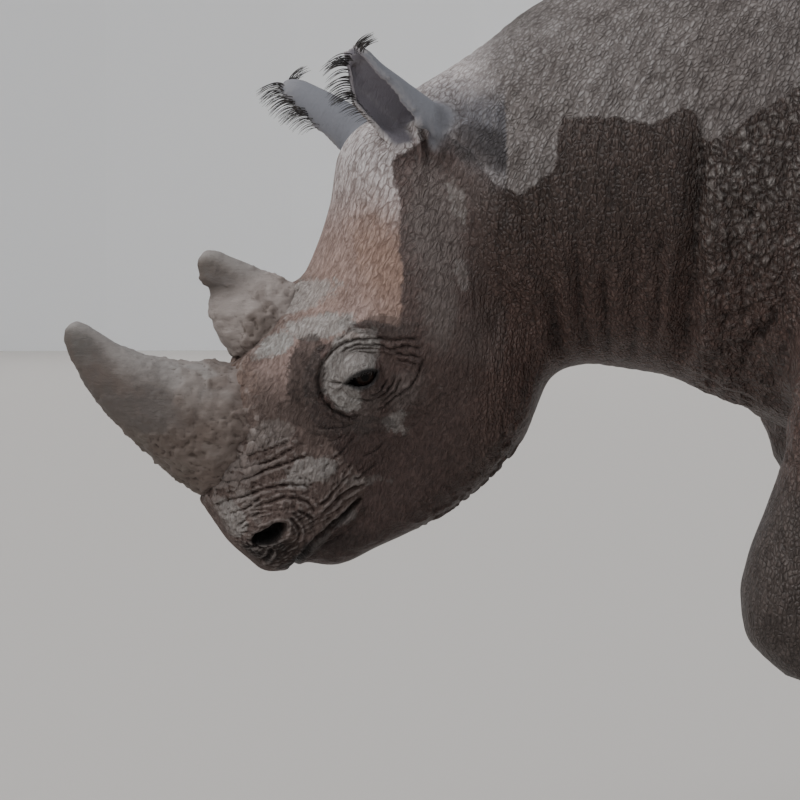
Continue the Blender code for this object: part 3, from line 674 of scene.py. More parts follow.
points, normals, places = read_hide()
chosen = np.nonzero((places[:, 0] > 20 * MM) & (np.abs(places[:, 2]) < 0.16) & (points[:, 2] > 0.3))[0]
flat = places[chosen, :2]
facing = step_up(np.abs(normals[chosen] @ sideways), 0.15, 0.5)
height = swells(flat, MUZZLE_SWELLS)
for knots, width, depth in MUZZLE_FOLDS:
    height += furrow(flat, np.array(knots) * MM, 0.8 * width * MM, 0.72 * depth * MM, lip=0.5)
height += furrow(flat, np.array(MOUTH) * MM, 3.6 * MM, 10 * MM, lip=0.4, hang=4.5 * MM, fade=0.12)
height += furrow(flat, np.array(NOSTRIL_TAIL) * MM, 2.6 * MM, 4.5 * MM, lip=0.5)
height += 1.6 * MM * layered_noise(places[chosen], 11 * MM, 15, 2) * step_up(flat[:, 0], 0.12, 0.18)
lip = swells(flat, LIP_SWELLS)
gape = furrow(flat, np.array(MOUTH_FRONT) * MM, 4.5 * MM, 12 * MM, lip=0.15, fade=0.3)
raked = step_up(flat[:, 0], 0.07, 0.13) * step_up(flat[:, 1], -0.09, -0.03)
height += 1.5 * MM * pleats(places[chosen], (0.66, -0.75, 0.1), 5.5 * MM, 11) * raked
height += 1.3 * MM * pleats(places[chosen], (0.80, -0.55, 0.2), 9 * MM, 13, wander=1.0) * raked
height += 1.6 * MM * layered_noise(places[chosen], 8 * MM, 14, 2) * raked
moved = np.zeros(len(points))
moved[chosen] = height * facing + (gape + lip) * np.maximum(facing, 0.75)
raise_hide(moved)
print(len(MUZZLE_FOLDS), "muzzle folds, up to", round(-height.min() / MM, 1), "mm deep")

# %% [markdown]
# The nostril is a comma-shaped hole with a thick rim. Its outline is told by a few knots, and the depth
# inside it decides all: just outside, the rim swells, and inside, the skin is sunk into the head and a little
# upwards. Noise on that depth keeps the edge soft and uneven.

# %% Sink the nostrils
NOSTRIL = (
    (249, 38), (241, 37), (231, 33), (221, 26), (213, 18), (211, 10),
    (219, 5), (231, 6), (242, 13), (249, 24), (252, 32),
)
NOSTRIL_DEPTH = 26 * MM


def beside_nostrils(places):
    """The points on either side of the nose's end."""
    apart = np.abs(places[:, 2])
    return np.nonzero((places[:, 0] > 0.19) & (apart < 0.16) & (apart > 0.02))[0]


points, normals, places = read_hide()
chosen = beside_nostrils(places)
chosen = chosen[np.abs(normals[chosen] @ sideways) > 0.1]
nostril = distance_inside(places[chosen, :2], np.array(NOSTRIL) * MM, 3 * MM)
nostril += 2.2 * MM * layered_noise(places[chosen], 9 * MM, 85, 2)
hand = np.sign(places[chosen, 2])
rim = 3.8 * MM * np.exp(-(((nostril + 4.0 * MM) / (3.6 * MM)) ** 2))
rim *= 1 + 0.5 * layered_noise(places[chosen], 12 * MM, 83, 2)
places[chosen, 2] += hand * rim
sunk = step_up(nostril, -0.8 * MM, 8 * MM)
places[chosen, 2] -= hand * NOSTRIL_DEPTH * sunk
places[chosen, 0] -= 0.35 * NOSTRIL_DEPTH * sunk
write_points(hide.data, between_eyes + places @ to_head.T)
print("nostrils of", int((nostril > 0).sum()), "points")

# %% [markdown]
# ## Heavy folds of the neck and shoulder
# The hide of the neck hangs in curtains. A deep fold parts neck and shoulder, and shallower ones stand
# between it and the jaw. Others mark the elbow, the flank, the rump and the joints of the legs. They are
# drawn on the animal's side view, and both sides get them at once.

# %% Fold the neck and body
BODY_FOLDS = (
    # knots as x and z in metres, then width, depth and hang in millimetres
    (((-0.688, 1.125), (-0.690, 1.069), (-0.693, 1.008), (-0.696, 0.934), (-0.700, 0.859), (-0.706, 0.775)),
     12, 13, 2),
    (((-0.884, 1.045), (-0.876, 0.971), (-0.866, 0.896), (-0.858, 0.835), (-0.842, 0.785)), 8, 5, 0),
    (((-0.842, 0.960), (-0.836, 0.900), (-0.828, 0.850), (-0.812, 0.800)), 8, 6, 0),
    (((-0.806, 0.930), (-0.803, 0.880), (-0.797, 0.835), (-0.790, 0.785)), 7, 5, 0),
    (((-0.777, 0.980), (-0.769, 0.930), (-0.764, 0.870), (-0.762, 0.822), (-0.767, 0.785)), 8, 4, 0),
    (((-0.743, 1.000), (-0.737, 0.940), (-0.735, 0.884), (-0.737, 0.822), (-0.743, 0.785)), 7, 4, 0),
    (((-0.713, 0.960), (-0.714, 0.900), (-0.718, 0.847), (-0.722, 0.785)), 6, 3, 0),
    (((-0.935, 1.020), (-0.910, 0.989), (-0.892, 0.946), (-0.876, 0.896), (-0.866, 0.847), (-0.850, 0.800)),
     8, 5, 0),
    (((-0.998, 1.160), (-0.985, 1.130), (-0.965, 1.105), (-0.935, 1.080)), 7, 4, 0),
    (((-0.955, 1.150), (-0.930, 1.120), (-0.900, 1.085)), 7, 3, 0),
    (((-0.640, 0.790), (-0.600, 0.860), (-0.585, 0.930)), 9, 5, 0),
    (((-0.330, 1.160), (-0.285, 1.040), (-0.262, 0.920), (-0.255, 0.800), (-0.270, 0.700)), 15, 14, 6),
    (((-0.300, 0.720), (-0.340, 0.660), (-0.400, 0.620), (-0.470, 0.600)), 10, 9, 3),
    (((0.520, 0.600), (0.575, 0.690), (0.600, 0.790), (0.600, 0.900), (0.580, 1.010)), 15, 16, 7),
    (((0.470, 0.620), (0.500, 0.700), (0.510, 0.790)), 11, 8, 2),
    (((1.090, 1.290), (1.130, 1.190), (1.180, 1.080), (1.190, 0.960)), 12, 10, 4),
    (((0.900, 1.330), (0.960, 1.230), (0.985, 1.110)), 12, 6, 2),
    (((-0.600, 0.700), (-0.540, 0.690), (-0.480, 0.700)), 9, 7, 2),
    (((-0.590, 0.640), (-0.540, 0.625), (-0.480, 0.640)), 8, 6, 2),
)

points, normals, places = read_hide()
flat = points[:, (0, 2)]
facing = step_up(np.abs(normals[:, 1]), 0.05, 0.45)
height = np.zeros(len(points))
for knots, width, depth, hang in BODY_FOLDS:
    height += furrow(flat, knots, width * MM, depth * MM, lip=0.25, hang=hang * MM, fade=0.2)
raise_hide(height * facing)
print(len(BODY_FOLDS), "body folds on each side")

# %% [markdown]
# ## Lumps, creases and soles
# A big animal is never smooth. Slow noise gives muscle and fat under the hide, and faint waves show the ribs.
# Dried mud cakes the shoulder and hangs in crumbs under the jaw. The wrist of the lifted foreleg bulges
# forward, as the bones of a bent joint do.

# %% Add muscle, mud and ribs
RIB_SPACING = 0.105
LIFTED_WRIST, WRIST_REACH, WRIST_BULGE = (-0.618, 0.480), (0.055, 0.070), 10 * MM

points, normals, places = read_hide()
on_ear = np.maximum(inside(points, "ear_left", 20 * MM), inside(points, "ear_right", 20 * MM))
on_face = step_up(-points[:, 0], 0.93, 1.0)
caked = step_up(points[:, 0], -0.70, -0.66) * step_up(noise(points, 0.22, 91), -0.9, -0.1)
caked *= step_up(points[:, 2], 0.64, 0.78)
calm = (1 - on_ear) * (1 - 0.75 * on_face)
height = 5.0 * MM * layered_noise(points, 0.28, 3, 2) * (1 - on_face)
height += 1.6 * MM * layered_noise(points, 0.045, 7, 2) * calm
height += 4.5 * MM * layered_noise(points, 0.018, 17, 2) * caked * (1 - step_up(points[:, 2], 1.06, 1.16))
crumbs = step_up(layered_noise(points, 0.010, 41, 2), 0.10, 0.45) * step_up(-normals[:, 2], 0.25, 0.6)
under_jaw = step_up(-points[:, 0], 0.86, 0.92) * (1 - on_ear) * (1 - step_up(places[:, 0], 0.12, 0.17))
height += 2.4 * MM * crumbs * under_jaw
ribs = np.sin(2 * math.pi * (points[:, 0] + 0.25 * points[:, 2]) / RIB_SPACING)
ribbed = step_up(points[:, 0], -0.25, 0.0) * (1 - step_up(points[:, 0], 0.45, 0.65))
ribbed *= step_up(points[:, 2], 0.62, 0.78) * (1 - step_up(points[:, 2], 1.05, 1.22))
height += 1.8 * MM * ribs * ribbed
height += swell(points[:, (0, 2)], LIFTED_WRIST, WRIST_REACH, WRIST_BULGE) * (points[:, 1] < 0)
print("lumps from", round(height.min() / MM, 1), "to", round(height.max() / MM, 1), "mm")

# %% [markdown]
# Skin that bends keeps creases. Rows of them cross the legs below the knee, run down the neck and the cheek,
# fan over the forehead and slant along the flank. Each row is raked where its two fades leave it room.

# %% Rake the creases
low = 1 - step_up(points[:, 2], 0.36, 0.50)
ring = pleats(points, (0.12, 0.1, 1.0), 17 * MM, 21)
height += 2.6 * MM * ring * low * step_up(points[:, 2], 0.05, 0.10)
on_neck = step_up(points[:, 0], -1.02, -0.90) * (1 - step_up(points[:, 0], -0.60, -0.50))
on_neck *= step_up(points[:, 2], 0.6, 0.7)
height += 1.1 * MM * pleats(points, (1.0, 0.15, -0.12), 16 * MM, 31) * on_neck
cheek = step_up(points[:, 0], -1.06, -1.0) * (1 - step_up(points[:, 0], -0.95, -0.88)) * (1 - on_ear)
height += 0.9 * MM * pleats(points, (1.0, 0.1, -0.1), 12 * MM, 51) * cheek
flank = step_up(points[:, 0], -0.45, -0.25) * step_up(points[:, 2], 0.55, 0.7)
height += 2.0 * MM * pleats(points, (1.0, 0.1, 0.5), 48 * MM, 61, wander=1.1) * flank
forehead = (1 - step_up(places[:, 0], -30 * MM, 10 * MM)) * step_up(places[:, 1], 35 * MM, 65 * MM)
height += 1.0 * MM * pleats(points, (0.95, 0.9, 0.30), 10 * MM, 71) * forehead * (1 - on_ear)
raise_hide(height)
print("creases raked on legs, neck, cheeks, flanks and forehead")

# %% [markdown]
# ## Where horns and ears meet the head
# A rhinoceros's horn has no root in the bone: it stands on the skin, and the skin thickens and creeps up its
# foot. So the hide beside a horn is raised, most at the very edge, and the saddle between the two horns is
# filled. An ear is a thin trumpet of gristle. Its inner side is found by its normals, which face the line
# down the trumpet's middle, and is pressed back into the wall, which leaves a sharp rim. The rim runs on down
# the head as a low ridge, and the skin sinks into a hollow behind each ear.

# %% Find the horns and the ears
from mathutils.bvhtree import BVHTree

EAR_OPENING = {  # backwards, sideways and up, on a head that looks straight ahead
    "ear_left": (-0.78, -0.55, 0.0),
    "ear_right": (-0.35, 0.28, -0.85),
}


def gap_to(meshes, points, reach):
    """Distance from each point to the nearest of some surfaces, up to the reach."""
    gap = np.full(len(points), float(reach))
    for mesh in meshes:
        corners = [vertex.co for vertex in mesh.vertices]
        surface = BVHTree.FromPolygons(corners, [tuple(face.vertices) for face in mesh.polygons])
        for index, point in enumerate(points):
            found = surface.find_nearest(Vector(point), gap[index])[3]
            if found is not None:
                gap[index] = found
    return gap


def horn_gap(points):
    return gap_to([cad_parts[node].data for node in ("horn_front", "horn_rear")], points, 0.06)


def ear_frame(node):
    """An ear's middle, the direction to its tip, that of its leading edge, and that of its opening."""
    points = read_points(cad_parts[node].data)
    middle = points.mean(axis=0)
    axes = np.linalg.svd(points - middle, full_matrices=False)[2]
    tipward = axes[0] * np.sign(axes[0][2])
    leading = unit(ahead - tipward * (ahead @ tipward))
    back, across, rise = EAR_OPENING[node]
    opening = unit(back * -ahead + across * sideways + rise * up)
    return middle, tipward, leading, opening


def ear_shares(points, normals, node):
    """How much each point belongs to an ear, faces into its opening, and how far it is towards the tip."""
    middle, tipward, _, opening = ear_frame(node)
    height = (points - middle) @ tipward
    packed = (read_points(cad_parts[node].data) - middle) @ tipward
    share = (height - packed.min()) / np.ptp(packed)
    toward = middle + height[:, None] * tipward + 12 * MM * opening - points
    facing = (normals * toward).sum(axis=1) / np.maximum(np.linalg.norm(toward, axis=1), 1e-6)
    own = 1 - step_up(gap_to([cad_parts[node].data], points, 0.02), 3 * MM, 12 * MM)
    return own, facing, share


print("the openings of", len(EAR_OPENING), "ears are known")

# %% Raise the collars and thin the ears
COLLAR_REACH, COLLAR_HEIGHT = 20 * MM, 8 * MM
EAR_PRESS = 3.2 * MM
EAR_HOLLOW, EAR_HOLLOW_REACH = (-0.289, 0.024), (0.034, 0.018)  # down and forward of the eye, in metres
EAR_RIDGE = ((-0.324, 0.066), (-0.307, 0.054), (-0.284, 0.043), (-0.263, 0.035))
HORN_SADDLE, HORN_SADDLE_REACH = (0.036, 0.158), (0.018, 0.016)

points, normals, places = read_hide()
flat = places[:, :2]
gap = horn_gap(points)
height = COLLAR_HEIGHT * np.exp(-((gap / COLLAR_REACH) ** 2))
height *= 1 + 0.5 * layered_noise(points, 0.018, 23, 2)
height += 2.0 * MM * layered_noise(points, 0.012, 29, 2) * np.exp(-((gap / (1.5 * COLLAR_REACH)) ** 2))
behind_ear = swell(flat, EAR_HOLLOW, EAR_HOLLOW_REACH, 6 * MM, turn=math.radians(146))
height -= behind_ear * (1 - on_ear) * (points[:, 2] > 0.9)
height -= furrow(flat, EAR_RIDGE, 3.5 * MM, 7 * MM, lip=0.3, fade=0.3) * (points[:, 2] > 0.9)
height += swell(flat, HORN_SADDLE, HORN_SADDLE_REACH, 8 * MM) * (np.abs(places[:, 2]) < 0.06)
for node in EAR_OPENING:
    own, facing, share = ear_shares(points, normals, node)
    height -= EAR_PRESS * own * step_up(facing, 0.15, 0.6) * step_up(share, 0.10, 0.35)
raise_hide(height)
print("collars on", int((gap < COLLAR_REACH).sum()), "points")

# %% [markdown]
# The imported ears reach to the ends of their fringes. On the near ear the skin stops short of that. So its
# leading edge is drawn back, and up towards the tip, to leave the hairs their room, and the whole tip is
# raised to keep its height.

# %% Leave room for the fringe
TIP_RISE = 9 * MM
FRINGE_ROOM = (
    # share of the ear's height, then how far back and up in millimetres
    (0.15, 0, 0),
    (0.40, -13, -3),
    (0.65, -17, 2),
    (0.85, 0, 10),
    (1.0, 9, 20),
)

points, normals, places = read_hide()
middle, _, leading, _ = ear_frame("ear_left")
own, _, share = ear_shares(points, normals, "ear_left")
out = (points - middle) @ leading
foremost = np.quantile(out[own > 0.9], 0.97)
weight = own * step_up(out, foremost - 40 * MM, foremost - 4 * MM)
shares, back, rise = np.array(FRINGE_ROOM).T
moved = np.interp(share, shares, back)[:, None] * -ahead + np.interp(share, shares, rise)[:, None] * up
moved = MM * weight[:, None] * moved + TIP_RISE * (own * step_up(share, 0.72, 1.0))[:, None] * up
write_points(hide.data, points + moved)
print("leading edge drawn back on", int((weight > 0.5).sum()), "points")

# %% [markdown]
# The three feet that carry the animal stand on the floor, so what noise has pushed under them is pressed up
# to it, which leaves small flats.

# %% Press the soles flat
SOLE, SQUEEZE = 4.0 * MM, 0.25

points = read_points(hide.data)
points[:, 2] = np.where(points[:, 2] < SOLE, np.maximum(points[:, 2] * SQUEEZE, 0), points[:, 2])
write_points(hide.data, points)
print("lowest point", round(float(points[:, 2].min()), 4))

# %% [markdown]
# ## Thinning the net where nothing happens
# A piece may have about two hundred thousand triangles. The decimate modifier takes them where they are
# missed least. The trunk and legs are thinned first, through a vertex group, and then the whole hide a
# little.

# %% Thin the net
HIDE_TRIANGLES = 192000
BODY_TRIANGLES = 62000


def count_triangles(mesh):
    return sum(len(poly.vertices) - 2 for poly in mesh.polygons)


def thin(item, triangles, weights=None):
    """Decimates to about this many triangles, most where the weights are high."""
    cut = item.modifiers.new("thin", "DECIMATE")
    cut.ratio = triangles / count_triangles(item.data)
    if weights is not None:
        group = item.vertex_groups.new(name="plain")
        for level in np.unique(weights):
            group.add(np.nonzero(weights == level)[0].tolist(), float(level), "REPLACE")
        cut.vertex_group = group.name
    bake(item)
    item.vertex_groups.clear()


points, normals, places = read_hide()
plain = np.round(step_up(points[:, 0], -1.0, -0.55), 1)
corners = np.array([tuple(poly.vertices)[:3] for poly in hide.data.polygons])
fine = int((plain[corners].mean(axis=1) < 0.3).sum()) * 2
print("before", count_triangles(hide.data), "of which fine about", fine)
thin(hide, max(fine + BODY_TRIANGLES, HIDE_TRIANGLES), plain)
print("after the body", count_triangles(hide.data))
thin(hide, HIDE_TRIANGLES)
print("after all", count_triangles(hide.data))

# %% [markdown]
# ## What the hide remembers
# The colour of a rhinoceros is the colour of its last bath. This one has lain in a wallow: the hide is dark
# and wet below a line, and dusty above it. The line is kept as a number on each point, the distance to it, so
# that the material can draw a crisp and ragged edge at any density of the net. Pale dust, caked mud, reddish
# earth, drying mud, painted shade, and a painted bluish shade behind the ears are ovals on the head, kept the
# same way: one number for the depth inside the nearest oval, and one for how thickly it lies there. One of
# the drying ovals is painted light, and the mud on the lip tip is also painted shade.

# %% Draw the water line and the ovals
WATER_LINE = (
    (-0.564, 1.150), (-0.620, 1.115), (-0.656, 1.090), (-0.683, 1.079), (-0.692, 1.105), (-0.706, 1.119),
    (-0.721, 1.116), (-0.752, 1.101), (-0.794, 1.109), (-0.841, 1.111), (-0.862, 1.104), (-0.866, 1.069),
    (-0.868, 1.048), (-0.889, 1.027), (-0.913, 1.018), (-0.945, 1.031), (-0.962, 1.060), (-0.984, 1.083),
    (-1.003, 1.092), (-1.018, 1.094), (-1.046, 1.072), (-1.064, 1.062), (-1.070, 1.047), (-1.065, 1.030),
    (-1.059, 1.008), (-1.059, 0.971), (-1.058, 0.884), (-1.061, 0.852), (-1.093, 0.860), (-1.136, 0.857),
    (-1.125, 0.845), (-1.109, 0.839), (-1.136, 0.836), (-1.156, 0.826), (-1.174, 0.806), (-1.180, 0.768),
    (-1.169, 0.733), (-1.146, 0.708), (-1.124, 0.681), (-1.101, 0.651), (-1.114, 0.618), (-1.152, 0.589),
    (-1.184, 0.566), (-1.300, 0.400), (-1.300, -0.200), (1.700, -0.200), (1.700, 0.700), (1.420, 0.760),
    (1.330, 0.930), (1.150, 1.090), (0.900, 1.170), (0.500, 1.130), (0.100, 1.140), (-0.250, 1.180),
    (-0.450, 1.170),
)
PATCHES = {
    # place down and forward of the eye, half length and half width, turn in degrees, strength
    "pale": (
        ((-4, 23), (51, 30), 0, 0.68),
        ((39, 7), (20, 14), 86, 0.85),
        ((-50, 112), (58, 17), 45, 0.70),
        ((-33, 70), (43, 15), 54, 0.85),
        ((7, 106), (28, 11), 32, 1.0),
        ((140, 8), (36, 17), 49, 0.62),
        ((37, -63), (15, 10), 37, 0.60),
        ((46, -69), (12, 6), 66, 0.50),
        ((125, -55), (30, 6), 66, 0.25),
        ((-244, -16), (25, 9), 141, 0.35),
        ((-161, -56), (23, 9), 141, 0.25),
        ((233, 72), (28, 18), 126, 0.68),
        ((216, -48), (17, 5), 20, 0.30),
        ((179, -60), (20, 7), 47, 0.30),
        ((206, 62), (24, 10), 126, 0.25),
        ((113, 70), (30, 18), 60, 0.25),
    ),
    "mud": (
        ((-9, 74), (15, 11), 66, 0.75),
        ((33, 62), (46, 22), 156, 0.85),
        ((73, 27), (51, 19), 81, 0.55),
        ((59, -30), (43, 11), 61, 0.6),
        ((-63, 2), (41, 13), 74, 0.55),
        # on the lip tip this mud is also painted shade
        ((254, 12), (22, 14), 66, 0.85),
        ((112, 142), (19, 11), 32, 0.8),
        ((203, -9), (20, 16), 66, 0.6),
    ),
    "red": (
        ((74, 140), (18, 23), 66, 1.0),
        ((-132, 33), (63, 33), 146, 0.75),
        ((-97, 81), (51, 25), 7, 0.3),
    ),
    "drying_and_lit": (
        ((-199, -8), (85, 34), 154, 1.0),
        ((-112, -47), (45, 22), 146, 1.0),
        ((-267, -21), (38, 25), 146, 0.35),
        # painted light: this oval lifts the shaded hollow under the cheek
        ((-110, -130), (60, 40), 60, 0.35),
        ((42, -20), (24, 18), 0, 0.75),
        ((3, -56), (26, 18), 0, 0.8),
        ((-250, 16), (16, 12), 0, 0.9),
        ((-222, 4), (18, 12), 0, 0.9),
    ),
    "shade": (
        ((-296, 30), (30, 16), 146, 0.45),
        ((-317, -18), (44, 24), 90, 0.9),
        ((-340, 30), (22, 17), 0, 0.45),
        ((-276, 68), (30, 10), 0, 0.3),
        ((176, 108), (20, 18), 0, 0.45),
        ((255, 4), (50, 24), 71, 0.95),
        ((232, -34), (17, 12), 66, 1.0),
        ((244, 14), (20, 13), 66, 0.8),
        ((214, -62), (56, 15), 56, 0.6),
    ),
    # painted shade: a bluish, skylit shade behind the ears
    "painted_blue_shade": (
        ((-338, -30), (84, 42), 106, 0.90),
    ),
}


def lay_patches(flat, rows):
    """Depth inside the nearest of some ovals, in metres, and that oval's strength."""
    deepest = np.full(len(flat), -0.1)
    strongest = np.zeros(len(flat))
    for place, reach, turn, strength in rows:
        offset = flat - np.array(place) * MM
        c, s = math.cos(math.radians(turn)), math.sin(math.radians(turn))
        u = (offset[:, 0] * c + offset[:, 1] * s) / (reach[0] * MM)
        v = (offset[:, 1] * c - offset[:, 0] * s) / (reach[1] * MM)
        depth = (1 - np.hypot(u, v)) * min(reach) * MM
        strongest = np.where(depth > deepest, strength, strongest)
        deepest = np.maximum(deepest, depth)
    return deepest, strongest


print(len(WATER_LINE), "knots of water line,", sum(len(rows) for rows in PATCHES.values()), "ovals")

# %% [markdown]
# Dirt settles in hollows and wears off ridges, and the hollows are also painted with shade and the dry ridges
# with a highlight. So each point also gets a number for how far it lies under its neighbours. The rims of the
# lids, the mouth and the nostrils are in shadow, painted nearly black, and the skin inside an ear is not that
# of its back: these get numbers too.

# %% Store the distances and amounts
def hollows(mesh, rounds):
    """How far each point lies under its neighbours, per millimetre of their distance."""
    points, normals, edges = read_points(mesh), read_normals(mesh), read_edges(mesh)
    one, other = edges.T
    count = np.bincount(edges.ravel(), minlength=len(points))
    run = points[other] - points[one]
    length = np.linalg.norm(run, axis=1)
    rise = np.bincount(one, (run * normals[one]).sum(1) / length, len(points))
    rise += np.bincount(other, (-run * normals[other]).sum(1) / length, len(points))
    rise /= count
    for _ in range(rounds):
        spread = np.bincount(one, rise[other], len(points)) + np.bincount(other, rise[one], len(points))
        rise = 0.5 * rise + 0.5 * spread / count
    return rise


def store(mesh, name, values):
    attribute = mesh.attributes.new(name, "FLOAT", "POINT")
    attribute.data.foreach_set("value", values.astype(np.float32))


points, normals, places = read_hide()
mesh = hide.data
on_head = step_up(-points[:, 0], 0.92, 1.0) * step_up(points[:, 2], 0.45, 0.5)
damp = distance_inside(points[:, (0, 2)], np.array(WATER_LINE), 12 * MM)
store(mesh, "damp", np.clip(damp, -0.3, 0.3))
store(mesh, "crease", np.clip(hollows(mesh, 1) * 3.0, -1, 1))
store(mesh, "fine", on_head)
store(mesh, "down", np.clip(places[:, 0], -0.5, 0.5))
on_sides = step_up(np.abs(places[:, 2]), 0.02, 0.05) + (1 - step_up(places[:, 0], 0.18, 0.20))
for name, rows in PATCHES.items():
    depth, strength = lay_patches(places[:, :2], rows)
    store(mesh, name + "_depth", depth)
    store(mesh, name, strength * (on_head > 0.02) * np.minimum(on_sides, 1))

gap = outside_slit(places[:, :2])
rim = np.where(near_eye(places, 60 * MM), np.exp(-((np.maximum(gap, 0) / (3.2 * MM)) ** 2)), 0)
mouth = np.zeros(len(points))
for knots, width, amount in ((MOUTH, 3.6 * MM, 0.75), (MOUTH_FRONT, 8.5 * MM, 0.9)):
    near, away, _, along = beside_line(places[:, :2], np.array(knots) * MM, 20 * MM)
    amount = amount * np.exp(-((away / width) ** 2)) * (1 - step_up(along, 0.75, 1.0))
    mouth[near] = np.maximum(mouth[near], amount * (np.abs(places[near, 2]) < 0.16))
nostril = np.zeros(len(points))
chosen = beside_nostrils(places)
inner = distance_inside(places[chosen, :2], np.array(NOSTRIL) * MM, 3 * MM)
nostril[chosen] = step_up(inner, -2 * MM, 5 * MM)
store(mesh, "dark", np.maximum(0.92 * rim, np.maximum(nostril, mouth)))
store(mesh, "muzzle", step_up(places[:, 0], 0.01, 0.09) * on_head)
store(mesh, "collar", np.exp(-((horn_gap(points) / (1.3 * COLLAR_REACH)) ** 2)))
crusted = step_up(points[:, 0], -0.705, -0.675) * (1 - 0.85 * step_up(points[:, 0], -0.50, -0.10))
store(mesh, "crust", crusted)
on_ears, in_ears = np.zeros(len(points)), np.zeros(len(points))
for node in EAR_OPENING:
    own, facing, share = ear_shares(points, normals, node)
    on_ears = np.maximum(on_ears, own * step_up(share, -0.02, 0.10))
    in_ears = np.maximum(in_ears, own * step_up(facing, -0.45, 0.0) * step_up(share, 0.06, 0.16))
store(mesh, "ear", on_ears)
store(mesh, "ear_inside", in_ears)
print("stored", len(mesh.attributes), "attributes")

# %% [markdown]
# ## Small tools for materials
# A material is a graph, and long graphs are easier to read as nested calls. Each helper adds one node and
# gives back its output, so that `blend(amount, dust, mud)` reads as what it does.

# %% Make the material tools
class Paint:
    """A material whose nodes are added by short calls."""

    def __init__(self, name):
        self.material = bpy.data.materials.new(name)
        self.material.use_nodes = True
        self.tree = self.material.node_tree
        self.shader = self.tree.nodes["Principled BSDF"]
        self.place = self.add("ShaderNodeTexCoord").outputs["Object"]

    def add(self, kind, inputs=None, **settings):
        node = self.tree.nodes.new(kind)
        for setting, value in settings.items():
            setattr(node, setting, value)
        for socket, value in (inputs or {}).items():
            self.feed(node.inputs[socket], value)
        return node

    def feed(self, socket, value):
        if isinstance(value, bpy.types.NodeSocket):
            self.tree.links.new(value, socket)
        else:
            socket.default_value = value

    def amount(self, name):
        return self.add("ShaderNodeAttribute", attribute_name=name).outputs["Fac"]

    def math(self, operation, one, other=0.0):
        node = self.add("ShaderNodeMath", {0: one, 1: other}, operation=operation)
        return node.outputs[0]

    def times(self, one, other):
        return self.math("MULTIPLY", one, other)

    def plus(self, one, other):
        return self.math("ADD", one, other)

    def centred(self, value):
        """Noise from 0 to 1 as noise round zero."""
        return self.math("SUBTRACT", value, 0.5)

    def rest(self, share):
        """What a share leaves of one."""
        return self.math("SUBTRACT", 1.0, share)

    def ramp(self, value, start, end, low=0.0, high=1.0):
        limits = {"Value": value, "From Min": start, "From Max": end, "To Min": low, "To Max": high}
        return self.add("ShaderNodeMapRange", limits, interpolation_type="SMOOTHSTEP").outputs[0]

    def blend(self, share, one, other, how="MIX"):
        node = self.add("ShaderNodeMix", {0: share}, data_type="RGBA", blend_type=how)
        for socket, colour in ((6, one), (7, other)):
            value = colour if isinstance(colour, bpy.types.NodeSocket) else (*colour, 1.0)
            self.feed(node.inputs[socket], value)
        return node.outputs[2]

    def darken(self, share, colour, tint):
        """The colour, multiplied by a tint as far as the share says."""
        return self.blend(share, colour, tint, "MULTIPLY")

    def vectors(self, operation, one, other):
        return self.add("ShaderNodeVectorMath", {0: one, 1: other}, operation=operation).outputs[0]

    def scaled(self, size, stretch=(1, 1, 1), place=None):
        """Coordinates in which a pattern of the given size, stretched along each axis, has size one."""
        return self.vectors("MULTIPLY", place or self.place, [1 / (size * s) for s in stretch])

    def turned(self, place, angle):
        """Coordinates turned about the sideways axis."""
        node = self.add("ShaderNodeVectorRotate", {"Vector": place, "Angle": angle}, rotation_type="Y_AXIS")
        return node.outputs[0]

    def height(self):
        return self.add("ShaderNodeSeparateXYZ", {0: self.place}).outputs["Z"]

    def clouds(self, size, detail=3.0, roughness=0.55, stretch=(1, 1, 1), place=None):
        inputs = {"Vector": self.scaled(size, stretch, place), "Scale": 1.0}
        inputs |= {"Detail": detail, "Roughness": roughness}
        return self.add("ShaderNodeTexNoise", inputs).outputs["Fac"]

    def shifted(self, size, far):
        """Coordinates pushed about by noise, so that patterns don't run straight."""
        cloud = self.add("ShaderNodeTexNoise", {"Vector": self.scaled(size), "Scale": 1.0, "Detail": 2.0})
        centred = self.vectors("SUBTRACT", cloud.outputs["Color"], (0.5, 0.5, 0.5))
        return self.vectors("ADD", self.place, self.vectors("MULTIPLY", centred, (far, far, far)))

    def cells(self, size, stretch=(1, 1, 1), place=None, feature="DISTANCE_TO_EDGE", result="Distance"):
        inputs = {"Vector": self.scaled(size, stretch, place), "Scale": 1.0}
        return self.add("ShaderNodeTexVoronoi", inputs, feature=feature).outputs[result]

    def bump(self, height, distance, normal=None):
        inputs = {"Height": height, "Distance": distance, "Strength": 1.0}
        if normal is not None:
            inputs["Normal"] = normal
        return self.add("ShaderNodeBump", inputs).outputs["Normal"]

    def finish(self, colour, roughness, normal=None, **constants):
        self.feed(self.shader.inputs["Base Color"], colour)
        self.feed(self.shader.inputs["Roughness"], roughness)
        if normal is not None:
            self.feed(self.shader.inputs["Normal"], normal)
        for socket, value in constants.items():
            self.shader.inputs[socket.replace("_", " ")].default_value = value
        return self.material


# %% [markdown]
# ## The hide's finish
# Close to, the hide is a pavement of little pads, about six millimetres wide and set in columns, with
# shallow cracks between them. The columns stand upright where the hide is wet and lean forward on the dry
# back. On the face the pads give way to fine wavy lines that run down it. Each of these is one pattern, made
# once here and used twice below, for the colour and for the relief.

# %% Lay the patterns of the hide
PAD = 5.6 * MM
FACE_LINE = 7.5 * MM
BROW_SLANT, BACK_SLANT = math.radians(-18), math.radians(-24)
skin = Paint("wallowed_hide")
drift = skin.shifted(26 * MM, 6 * MM)
brow = skin.turned(skin.shifted(16 * MM, 9 * MM), BROW_SLANT)
fine = skin.amount("fine")
crease = skin.amount("crease")
muzzle = skin.amount("muzzle")
ear = skin.amount("ear")
crust = skin.amount("crust")
down = skin.amount("down")

